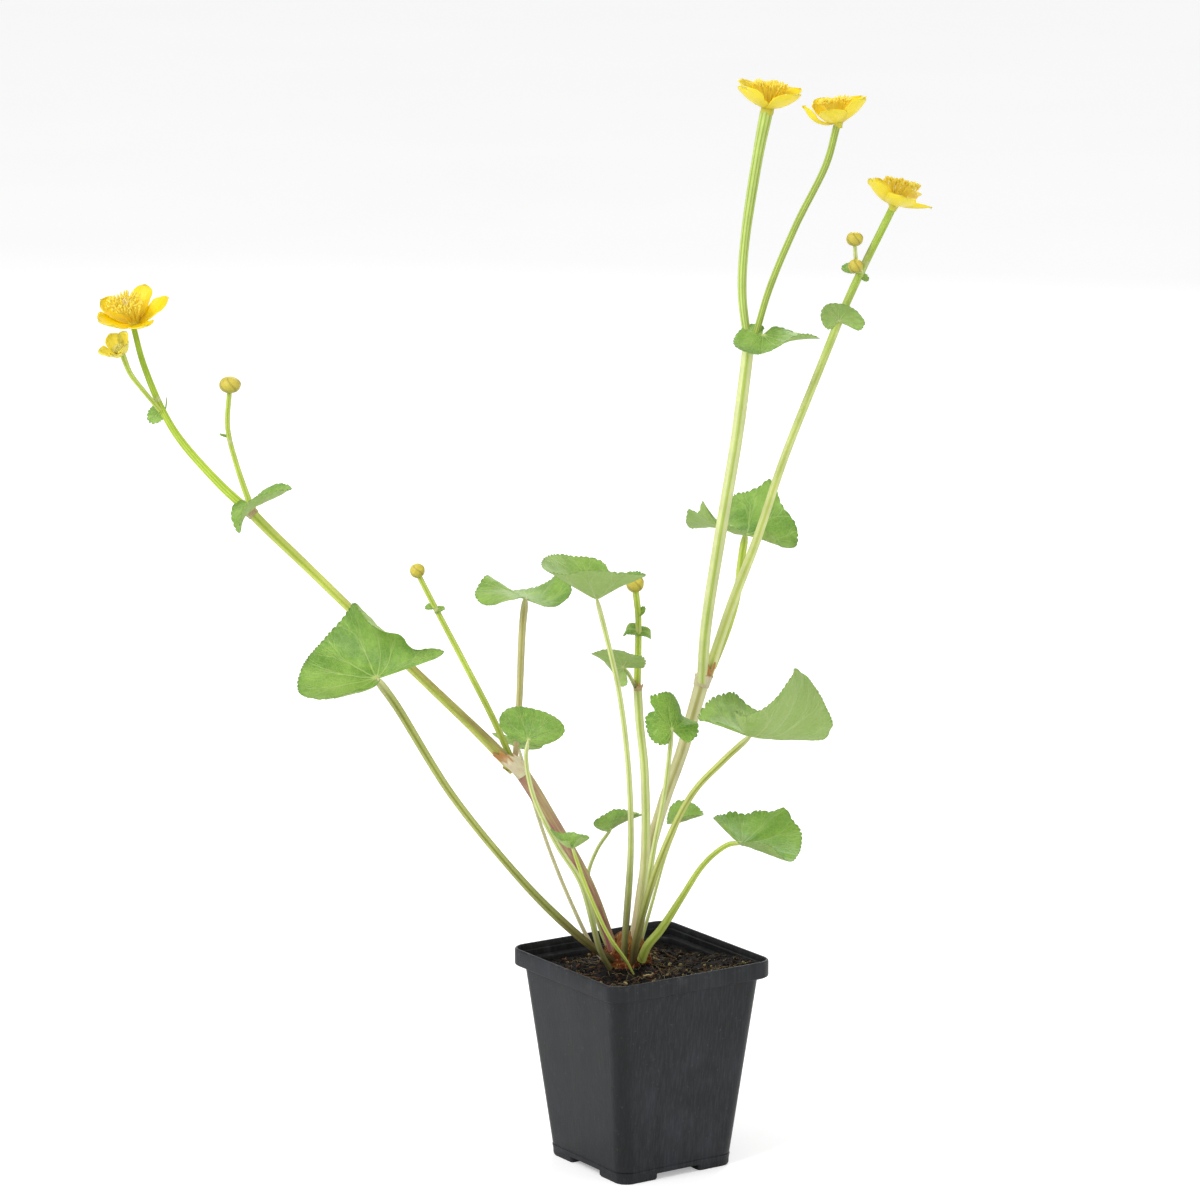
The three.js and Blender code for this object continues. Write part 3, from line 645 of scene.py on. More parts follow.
@cache
def mottle_group() -> Tree:
    """Soft patches and fine grain from Object coordinates; both outputs run from 0 to 1."""
    board, ins, out = new_group("mottle", {"Place": (0.0, 0.0, 0.0), "Size": 60.0}, ("Patches", "Grain"))
    board.feed(out.inputs, {
        "Patches": board.band(board.noise(ins["Place"], ins["Size"], 4.0, 0.6), 0.3, 0.7),
        "Grain": board.noise(ins["Place"], 620.0, 4.0, 0.72),
    })
    return board.tree


@cache
def fibre_group() -> Tree:
    """Thin streaks along v, from a noise stretched along the piece; Rounds is how many go round u."""
    board, ins, out = new_group(
        "fibres", {"Skin": (0.0, 0.0, 0.0), "Rounds": 40.0, "Run": 3.0}, ("Streak", "Fine")
    )
    split = board.node("SeparateXYZ", {0: ins["Skin"]}).outputs
    turn = board.times(split[0], 2 * math.pi)
    radius = board.work("DIVIDE", ins["Rounds"], 6.0)
    x = board.times(board.work("COSINE", turn), radius)
    y = board.times(board.work("SINE", turn), radius)
    z = board.times(split[1], ins["Run"])
    place = board.node("CombineXYZ", {0: x, 1: y, 2: z}).outputs[0]
    board.feed(out.inputs, {
        "Streak": board.noise(place, 1.0, 2.0, 0.5), "Fine": board.noise(place, 3.1, 3.0, 0.65),
    })
    return board.tree


def new_material(name: str) -> tuple[Material, Board, Node]:
    """An empty material with a Principled shader.

    Args:
        name: Name of the material.

    Returns:
        The material, its board and the shader.
    """
    material = bpy.data.materials.new(name)
    material.use_nodes = True
    board = Board(material.node_tree)
    return material, board, next(n for n in board.tree.nodes if n.type == "BSDF_PRINCIPLED")


# ------------------------------------------------------------------ finishes


@dataclass(frozen=True)
class BladeSkin:
    """Leaf blade: green above with pale radiating veins, paler beneath."""

    name: str
    upper: Colour = rgb(138, 178, 74)
    deep: Colour = rgb(86, 136, 38)
    under: Colour = rgb(162, 188, 106)
    vein: Colour = rgb(190, 212, 130)
    veins: int = 9
    reach: float = 12.0
    net: float = 0.3

    def build(self) -> Material:
        """Makes the material; tint is underside, dark margin and tone."""
        material, board, shader = new_material(self.name)
        flat, _, v = board.skin()
        place = board.place()
        side, edge, tone = board.tint()
        veins = board.group(vein_group(), Skin=flat, Place=place, Count=float(self.veins), Reach=self.reach)
        mottle = board.group(mottle_group(), Place=place, Size=85.0)
        lines = board.work("MAXIMUM", veins["Main"], board.times(veins["Branch"], 0.62))
        ribs = board.work("MAXIMUM", lines, board.times(veins["Net"], self.net))
        pale = board.times(ribs, 0.5)
        green = board.mix(mottle["Patches"], self.deep, self.upper)
        green = board.mix(pale, green, self.vein)
        green = board.mix(board.times(tone, 0.6), green, rgb(176, 200, 92))
        below = board.mix(board.times(mottle["Patches"], 0.5), self.under, self.upper)
        below = board.mix(pale, below, rgb(192, 208, 142))
        colour = board.mix(side, green, below)
        colour = board.mix(board.band(v, 0.015, 0.1, 0.75, 0.0), colour, rgb(206, 214, 140))
        colour = board.mix(edge, colour, rgb(58, 62, 34))
        grain = board.line(mottle["Grain"], 0.75, 0.62)
        rough = board.line(side, 0.16, 0.4)
        relief = board.times(ribs, board.line(side, 2.0, -1.0))
        board.feed(shader.inputs, {
            "Base Color": board.mix(0.55, colour, board.shaded(colour, grain)),
            "Roughness": board.line(mottle["Grain"], 0.12, rough),
            "Normal": board.bump(board.line(mottle["Grain"], 1.1, relief), 0.0002),
            "Specular IOR Level": 0.45, "Subsurface Weight": 0.22,
            "Subsurface Radius": (0.5, 1.0, 0.2), "Subsurface Scale": 0.0008,
        })
        return material


@dataclass(frozen=True)
class StalkSkin:
    """Stem or petiole: pale ribs, darker stripes between them and an aged colour where tint says so."""

    name: str
    rib: Colour = rgb(226, 232, 168)
    stripe: Colour = rgb(176, 196, 92)
    # Default aged colour, a dark olive: on leaf stalks it darkens the foot by the crown, partly the stalk's
    # own olive-brown and partly painted shade.
    aged: Colour = rgb(74, 68, 10)
    stained: Colour = rgb(136, 80, 84)
    ribs: float = 4.0

    def build(self) -> Material:
        """Makes the material; tint is age, stain and pallor."""
        material, board, shader = new_material(self.name)
        flat, u, _ = board.skin()
        age, stain, pale = board.tint()
        fibres = board.group(fibre_group(), Skin=flat, Rounds=46.0, Run=4.0)
        mottle = board.group(mottle_group(), Place=board.place(), Size=70.0)
        wave = board.work("COSINE", board.times(u, 2 * math.pi * self.ribs))
        wave = board.line(fibres["Streak"], 2.2, board.work("ADD", wave, -1.1))
        colour = board.mix(board.band(wave, -0.3, 1.0), self.rib, self.stripe)
        colour = board.mix(board.band(fibres["Fine"], 0.52, 0.68, 0.0, 0.45), colour, self.stripe)
        old = board.mix(board.band(fibres["Fine"], 0.35, 0.65, 0.0, 0.2), self.aged, self.stripe)
        colour = board.mix(age, colour, old)
        colour = board.mix(board.times(stain, board.band(fibres["Streak"], 0.25, 0.6)), colour, self.stained)
        colour = board.mix(pale, colour, rgb(226, 226, 176))
        shade = board.times(board.line(mottle["Patches"], 0.14, 0.9), board.line(fibres["Fine"], 0.2, 0.9))
        relief = board.work("ADD", fibres["Fine"], board.times(fibres["Streak"], 0.8))
        board.feed(shader.inputs, {
            "Base Color": board.shaded(colour, shade),
            "Roughness": board.line(fibres["Fine"], 0.2, 0.34),
            "Normal": board.bump(relief, 0.00012),
            "Specular IOR Level": 0.22, "Subsurface Weight": 0.15,
            "Subsurface Radius": (0.8, 1.0, 0.3), "Subsurface Scale": 0.001,
        })
        return material


@dataclass(frozen=True)
class PetalSkin:
    """Glossy golden petal with fine lines that fan from its base."""

    name: str
    inner: Colour = rgb(255, 220, 4)
    outer: Colour = rgb(255, 226, 50)
    base: Colour = rgb(255, 204, 8)
    lines: float = 15.0

    def build(self) -> Material:
        """Makes the material; tint is outer face, green and worn edge."""
        material, board, shader = new_material(self.name)
        flat, u, v = board.skin()
        back, green, edge = board.tint()
        fibres = board.group(fibre_group(), Skin=flat, Rounds=46.0, Run=1.6)
        mottle = board.group(mottle_group(), Place=board.place(), Size=110.0)
        colour = board.mix(mottle["Patches"], self.inner, board.mix(0.35, self.inner, self.base))
        colour = board.mix(back, colour, self.outer)
        colour = board.mix(board.band(v, 0.0, 0.34, 0.8, 0.0), colour, self.base)
        wave = board.work("COSINE", board.times(u, 2 * math.pi * self.lines))
        line = board.band(board.line(fibres["Streak"], 1.4, wave), 0.9, 1.7)
        colour = board.mix(board.times(line, 0.16), colour, rgb(226, 164, 8))
        colour = board.mix(green, colour, rgb(150, 170, 50))
        relief = board.line(line, -0.6, board.times(fibres["Fine"], 0.7))
        board.feed(shader.inputs, {
            "Base Color": board.mix(edge, colour, rgb(176, 124, 30)),
            "Roughness": board.line(fibres["Fine"], 0.2, 0.28),
            "Normal": board.bump(relief, 0.0001),
            "Specular IOR Level": 0.5, "Subsurface Weight": 0.5,
            "Subsurface Radius": (1.0, 0.85, 0.15), "Subsurface Scale": 0.0016,
        })
        return material


@dataclass(frozen=True)
class BodySkin:
    """Small solid plant parts: three colours that the mesh blends, with a fine uneven surface."""

    name: str
    first: Colour
    second: Colour
    third: Colour
    grain: float = 900.0
    depth: float = 0.0001
    rough: float = 0.5

    def build(self) -> Material:
        """Makes the material; tint blends first to second, then to third, and the last part darkens with
        painted shade.
        """
        material, board, shader = new_material(self.name)
        share, last, dark = board.tint()
        grain = board.noise(board.place(), self.grain, 4.0, 0.65)
        colour = board.mix(last, board.mix(share, self.first, self.second), self.third)
        colour = board.shaded(colour, board.line(grain, 0.5, 0.75))
        # The darkening towards dark brown is painted shade: in the creases of the buds and among the outer
        # stamens of the half open flower.
        board.feed(shader.inputs, {
            "Base Color": board.mix(dark, colour, rgb(60, 44, 24)),
            "Roughness": board.line(grain, 0.3, self.rough - 0.15),
            "Normal": board.bump(grain, self.depth), "Subsurface Weight": 0.35,
            "Subsurface Radius": (1.0, 0.9, 0.3), "Subsurface Scale": 0.001,
        })
        return material


@dataclass(frozen=True)
class PaperSkin:
    """Dry papery sheath with lengthwise fibres and darker torn edges."""

    name: str
    light: Colour = rgb(250, 244, 216)
    dark: Colour = rgb(208, 140, 70)
    line: Colour = rgb(228, 206, 166)
    edge: Colour = rgb(206, 152, 90)

    def build(self) -> Material:
        """Makes the material; tint is darkness, torn edge and green."""
        material, board, shader = new_material(self.name)
        dark, torn, green = board.tint()
        fibres = board.group(fibre_group(), Skin=board.skin()[0], Rounds=60.0, Run=2.5)
        mottle = board.group(mottle_group(), Place=board.place(), Size=160.0)
        share = board.line(board.band(fibres["Streak"], 0.35, 0.65), 0.28, dark)
        colour = board.mix(board.node("Clamp", {0: share}).outputs[0], self.light, self.dark)
        colour = board.mix(green, colour, rgb(170, 180, 100))
        colour = board.mix(board.band(fibres["Fine"], 0.5, 0.7, 0.0, 0.5), colour, self.line)
        colour = board.mix(torn, colour, self.edge)
        board.feed(shader.inputs, {
            "Base Color": board.shaded(colour, board.line(mottle["Patches"], 0.16, 0.92)),
            "Roughness": board.line(fibres["Fine"], 0.3, 0.55),
            "Normal": board.bump(board.work("ADD", fibres["Fine"], fibres["Streak"]), 0.0003),
            "Specular IOR Level": 0.2,
        })
        return material


@dataclass(frozen=True)
class PotPlastic:
    """Black moulded plastic with a grey bloom, fine streaks down its sides and scuffs on the rim."""

    name: str = "pot plastic"
    black: Colour = rgb(13, 15, 18)
    bloom: Colour = rgb(53, 56, 62)

    def build(self) -> Material:
        """Makes the material from Object coordinates; tint is rim scuff, inner wall and smooth corner."""
        material, board, shader = new_material(self.name)
        place = board.place()
        scuff, inside, smooth = board.tint()
        streak = board.noise(board.stretch(place, (1.0, 1.0, 0.02)), 1300.0, 3.0, 0.6)
        broad = board.noise(board.stretch(place, (1.0, 1.0, 0.05)), 90.0, 3.0, 0.6)
        cloud = board.noise(place, 38.0, 4.0, 0.6)
        share = board.times(board.band(broad, 0.35, 0.7), board.band(cloud, 0.3, 0.75))
        share = board.line(board.band(streak, 0.42, 0.68), 0.42, board.times(share, 0.6))
        share = board.times(share, board.line(smooth, -0.75, 1.0))
        colour = board.mix(share, self.black, self.bloom)
        speck = board.band(board.noise(place, 700.0, 2.0, 0.5), 0.69, 0.74)
        colour = board.mix(board.times(speck, 0.25), colour, rgb(96, 92, 86))
        rub = board.times(scuff, board.band(board.noise(place, 160.0, 5.0, 0.7), 0.52, 0.72))
        colour = board.mix(board.times(rub, 0.7), colour, rgb(96, 98, 102))
        rough = board.line(broad, 0.22, board.line(smooth, -0.1, 0.36))
        relief = board.line(board.noise(place, 2600.0, 2.0, 0.6), 0.5, board.times(streak, 0.6))
        board.feed(shader.inputs, {
            "Base Color": board.mix(board.times(inside, 0.5), colour, rgb(20, 18, 18)),
            "Roughness": board.work("ADD", rough, board.times(share, 0.2)),
            "Normal": board.bump(relief, 0.0001), "Specular IOR Level": 0.36,
        })
        return material


@dataclass(frozen=True)
class SoilFinish:
    """Dark moist compost, crumbs and plant bits."""

    name: str = "compost"

    def build(self) -> Material:
        """Makes the material; tint blends compost to wood, then to straw, then to light grains."""
        material, board, shader = new_material(self.name)
        place = board.place()
        wood, straw, pale = board.tint()
        cloud = board.noise(place, 160.0, 5.0, 0.65)
        grain = board.noise(place, 1500.0, 4.0, 0.7)
        colour = board.mix(board.band(cloud, 0.35, 0.65), rgb(5, 4, 3), rgb(24, 18, 13))
        colour = board.mix(board.band(grain, 0.6, 0.72, 0.0, 0.5), colour, rgb(104, 84, 60))
        colour = board.mix(wood, colour, rgb(96, 58, 38))
        colour = board.mix(straw, colour, rgb(196, 176, 118))
        relief = board.work("ADD", cloud, board.times(grain, 0.5))
        board.feed(shader.inputs, {
            "Base Color": board.mix(pale, colour, rgb(214, 206, 190)),
            "Roughness": board.line(grain, 0.4, 0.6),
            "Normal": board.bump(relief, 0.0014), "Specular IOR Level": 0.22,
        })
        return material


Skin = BladeSkin | StalkSkin | PetalSkin | BodySkin | PaperSkin | PotPlastic | SoilFinish


@cache
def made_once(skin: Skin) -> Material:
    """Material of a finish, made the first time it is asked for."""
    return skin.build()


def dressed(*skins: Skin) -> list[Material]:
    """Materials of some finishes."""
    return [made_once(skin) for skin in skins]


# ------------------------------------------------------------------ leaves


@dataclass
class Leaf:
    """A kidney-shaped, toothed blade on its stalk.

    Fields:
        name: Name of its node.
        at: Where the stalk joins the blade.
        turn: Turns about Z, X and Y in degrees.
        wide, long: Half sizes of the blade's oval.
        offset: How far the oval's centre lies past the joint, as a share of long.
        spread: Angle of the blade on either side of its tip, in radians.
        curl: Roll of the left side, right side, tip and base.
        wave, phase: Size and place of three waves round the blade.
        skew, twist: Lopsidedness and twist along the blade.
        cup: Slope of the funnel that the whole blade makes.
        tugs: Places where the margin is drawn out of shape: an angle, a sideways and an upward
            move, and how far round it is felt where that isn't tug_width.
        stalk, radii: Path of the stalk up to the joint, and its radii.
        lobe: Two angles between which the teeth are deeper, and how many times.
        tooth: Depth of the teeth.
        pitch: Length of margin that a tooth takes.
        tug_width: How far round the margin a tug is felt, in radians.
        seed: Picks its irregularities.
        skin, stem: Finishes of its blade and of its stalk.
        age: Age tint at the two ends of the stalk; where its aged colour is a dark olive, the foot's
            darkening is partly painted shade.
    """

    name: str
    at: Point
    turn: Point
    wide: float
    long: float
    offset: float
    spread: float
    curl: tuple[float, float, float, float]
    wave: float = 0.0
    phase: float = 0.0
    skew: float = 0.0
    twist: float = 0.0
    cup: float = 0.0
    tugs: tuple[tuple[float, ...], ...] = ()
    stalk: tuple[Point, ...] = ()
    radii: tuple[float, ...] = ()
    lobe: Point = (0.0, 0.0, 1.0)
    tooth: float = 0.8
    pitch: float = 2.6
    tug_width: float = 0.32
    seed: int = 1
    skin: BladeSkin = BladeSkin("leaf blade")
    stem: StalkSkin = StalkSkin("leaf stalk")
    age: Pair = (0.85, 0.0)

    def margin(self, angle: Array) -> Array:
        """Distance from joint to margin: a ray meets an off-centre ellipse, and fades at the cleft.

        Args:
            angle: Bearings from the tip in radians.

        Returns:
            A distance for each.
        """
        sine, cosine = np.sin(angle), np.cos(angle)
        centre = self.offset * self.long
        a = sine**2 / self.wide**2 + cosine**2 / self.long**2
        b = cosine * centre / self.long**2
        reach = (b + np.sqrt(b * b + a * (1 - centre**2 / self.long**2))) / a
        return reach * np.sqrt(np.maximum(1 - (np.abs(angle) / (self.spread * 1.03)) ** 14, 0.02))

    def bend(self, x: Array, y: Array, z: Array) -> Array:
        """Rolls the sides, twists and rolls the length: a distance becomes an arc of the curl's angle.

        Args:
            x, y, z: The flat blade across, along and up.

        Returns:
            Points of the bent blade.
        """
        length = self.long * (1 + self.offset)
        left, right, tip, base = self.curl
        x, z = self.roll(x, z, np.where(x < 0, left, right) / self.wide)
        turn = self.twist * y / length
        x, z = x * np.cos(turn) + z * np.sin(turn), z * np.cos(turn) - x * np.sin(turn)
        y, z = self.roll(y, z, np.where(y > 0, tip, base) / length)
        return stacked(x, y, z)

    @staticmethod
    def roll(distance: Array, height: Array, curvature: Array) -> tuple[Array, Array]:
        """Bends a flat distance into an arc; a height stays square to it.

        Args:
            distance, height: Place of a point.
            curvature: Angle of the arc for each mm.

        Returns:
            The new distance and height.
        """
        k = np.where(np.abs(curvature) < 1e-5, 1e-5, curvature)
        angle = k * np.abs(distance)
        flat = np.sign(distance) * (np.sin(angle) / k - height * np.sin(angle))
        return flat, (1 - np.cos(angle)) / k + height * np.cos(angle)

    def sheet(self, rows: int) -> tuple[Array, Array, Array]:
        """The blade's middle sheet.

        Angle runs from minus spread to spread and t from the joint to the margin. The margin's arc
        length is cut into teeth, each a rounded lobe between two sharp notches, whose depth fades
        inwards as the eighth power of t. Main veins are shallow furrows and the blade swells between.

        Args:
            rows: How many rows to use.

        Returns:
            Points as rows by columns by 3, a mask of the tooth ends and the t of each row.
        """
        fine = np.linspace(-self.spread, self.spread, 2001)
        edge = self.margin(fine)[:, None] * stacked(np.sin(fine), np.cos(fine))
        run = np.concatenate([[0], np.cumsum(np.linalg.norm(np.diff(edge, axis=0), axis=1))])
        teeth = max(int(run[-1] / self.pitch), 6)
        columns = max(teeth * 6, 60)
        place = np.linspace(0, run[-1], columns + 1)
        steady = np.linspace(-self.spread, self.spread, columns + 1)
        angle = 0.55 * np.interp(place, run, fine) + 0.45 * steady
        place = np.interp(angle, fine, run)
        rng = np.random.default_rng(self.seed)
        middle = (np.arange(teeth + 1) / (teeth + 1) - 0.5) * 2 * self.spread
        coarse = (middle > self.lobe[0]) & (middle < self.lobe[1])
        cuts = np.cumsum((0.55 + 0.9 * rng.random(teeth + 1)) * np.where(coarse, self.lobe[2] ** 0.8, 1))
        cuts = np.concatenate([[0], cuts / cuts[-1] * run[-1]])
        number = np.clip(np.searchsorted(cuts, place, side="right") - 1, 0, teeth)
        saw = (place - cuts[number]) / (cuts[number + 1] - cuts[number])
        lobe = np.sqrt(np.maximum(np.sin(math.pi * np.clip(saw, 0, 1) ** 1.25), 0))
        depth = self.tooth * (0.35 + 1.0 * rng.random(teeth + 2))[number]
        depth = depth * np.where((angle > self.lobe[0]) & (angle < self.lobe[1]), self.lobe[2], 1)
        t = np.linspace(0, 1, rows)[:, None] ** 0.85
        reach = t * self.margin(angle) + t**8 * (lobe - 0.75) * depth
        x, y = reach * np.sin(angle), reach * np.cos(angle)
        x = x * (1 + self.skew * np.sign(x))
        z = self.wave * self.wide * np.sin(3 * angle + self.phase) * t**2 + self.cup * np.hypot(x, y)
        flat = stacked(x, y, self.seed * 31.0)
        sector = angle / (2 * self.spread) + 0.5
        off = np.abs((sector * self.skin.veins) % 1.0 - 0.5)
        gap = off * self.skin.reach * t
        furrow = 0.24 * np.exp(-((gap / 0.7) ** 2)) * (1 - 0.7 * t) * ease(0, 0.1, t)
        swell = 0.35 * np.sin(math.pi * (0.5 - off) * 2) * t * self.wide / 30
        z = z - furrow - swell * 0.6 + 0.22 * cell_noise(flat, 3.2, 5) * ease(0.05, 0.3, t)
        ruffle = cell_noise(stacked(x, y, 0), 8.0, self.seed + 9)
        z = z + (0.9 * ruffle + 0.35 * (lobe - 0.5)) * t**5 * self.wide / 26
        points = self.bend(x, y, z)
        yaw, pitch, bank = self.turn
        points = turned(turned(turned(points, bank, "Y"), pitch, "X"), yaw, "Z") + np.array(self.at)
        for bearing, sideways, upward, *width in self.tugs:
            share = np.exp(-(((angle - bearing) / (*width, self.tug_width)[0]) ** 2)) * t**1.5
            points = points + share[..., None] * np.array([sideways, 0.0, upward])
        ends = ease(0.55, 0.95, lobe)[None] * ease(0.965, 0.995, t)
        return points, ends, t[:, 0]

    def blade(self, rows: int = 26, thick: float = 0.46) -> Patch:
        """The blade as a thin closed slab whose tints tell under from upper and mark the tooth ends.

        Args:
            rows: Rows from joint to margin.
            thick: Thickness, less towards the margin.

        Returns:
            The slab.
        """
        sheet, ends, t = self.sheet(rows)
        tone = 0.5 + 0.5 * cell_noise(sheet, self.wide * 0.9, self.seed + 3)
        up = stacked(0, ends * 0.55, np.clip(tone, 0, 1) * 0.6)
        down = stacked(1, ends * 0.4, np.clip(tone, 0, 1) * 0.4)
        patch = shell(sheet, thick * (1.15 - 0.65 * t[:, None] ** 2), up, down, Finish.MAIN)
        count = sheet.shape[0]
        patch.uv[..., 1] = np.interp(patch.uv[..., 1], np.linspace(0, 1, count), t)
        return patch

    def stalk_tube(self) -> Patch:
        """The stalk: a channelled tube that narrows into the blade."""
        points = (*self.stalk, self.at)
        count = max(int(path_length(points) / 1.8), 8)
        path = smooth_path(points, count)
        radii = spread_values(self.radii, count) * 0.97
        radii[-3:] *= np.array([0.95, 0.8, 0.5])
        sides = 20
        ribs = 0.06 * radii.mean() * np.cos(5 * circle(sides))
        share = np.linspace(0, 1, count)
        foot, top = self.age
        # Darker towards the foot: with a dark aged colour this is partly the stalk's own colour and partly
        # painted shade near the crown.
        age = np.interp(share, [0, 0.12, 0.45, 1], [foot, foot * 0.7, top, top])
        tint = stacked(age, age * 0.35 * (share < 0.2), 0.5 * ease(0.93, 1.0, share))
        return tube(path, radii, sides, tint, Finish.STALK, ribs)

    def build(self) -> bpy.types.Object:
        """Makes the leaf's object."""
        patches = [self.blade(26 if self.wide > 14 else 18)]
        if self.stalk:
            patches.append(self.stalk_tube())
        return make_piece(self.name, join(patches), dressed(self.skin, self.stem), (self.name,))


OLD_LEFT = StalkSkin(
    "old left stem", rgb(216, 212, 150), rgb(172, 168, 98), rgb(184, 154, 112), rgb(150, 70, 98)
)
OLD_RIGHT = StalkSkin(
    "old right stem", rgb(232, 230, 182), rgb(170, 166, 92), rgb(206, 194, 146), rgb(190, 138, 130)
)
SIDE = StalkSkin("side stem", rgb(240, 242, 176), rgb(204, 216, 112), rgb(160, 190, 68))
OLIVE_STEM = StalkSkin(
    "long left stem", rgb(220, 230, 120), rgb(176, 200, 66), rgb(164, 140, 88), rgb(146, 100, 108)
)
PALE = StalkSkin("middle stem", aged=rgb(228, 206, 190), stained=rgb(176, 116, 120))
FRESH = StalkSkin("fresh flower stalk", rgb(204, 220, 130), rgb(156, 186, 78), ribs=9.0)
LIME = StalkSkin("lime stalk", rgb(210, 222, 116), rgb(168, 196, 64))
BEIGE = StalkSkin("beige leaf stalk", rgb(208, 204, 146), rgb(170, 168, 84), rgb(192, 168, 136))
# Its near-black aged colour darkens the stalks' feet by the crown: partly their own olive-brown, partly
# painted shade under the leaves.
OLIVE = StalkSkin("olive leaf stalk", rgb(202, 208, 124), rgb(146, 156, 60), rgb(50, 46, 6))
LEFT_TOP = StalkSkin("left flower stalk", rgb(214, 232, 100), rgb(172, 202, 58), rgb(160, 194, 52), ribs=9.0)
TOP_RIGHT = StalkSkin("olive flower stalk", rgb(184, 200, 104), rgb(142, 168, 66), ribs=9.0)
VIVID = BladeSkin("vivid leaf", rgb(112, 162, 42), rgb(78, 132, 26), vein=rgb(178, 210, 104), net=0.6)
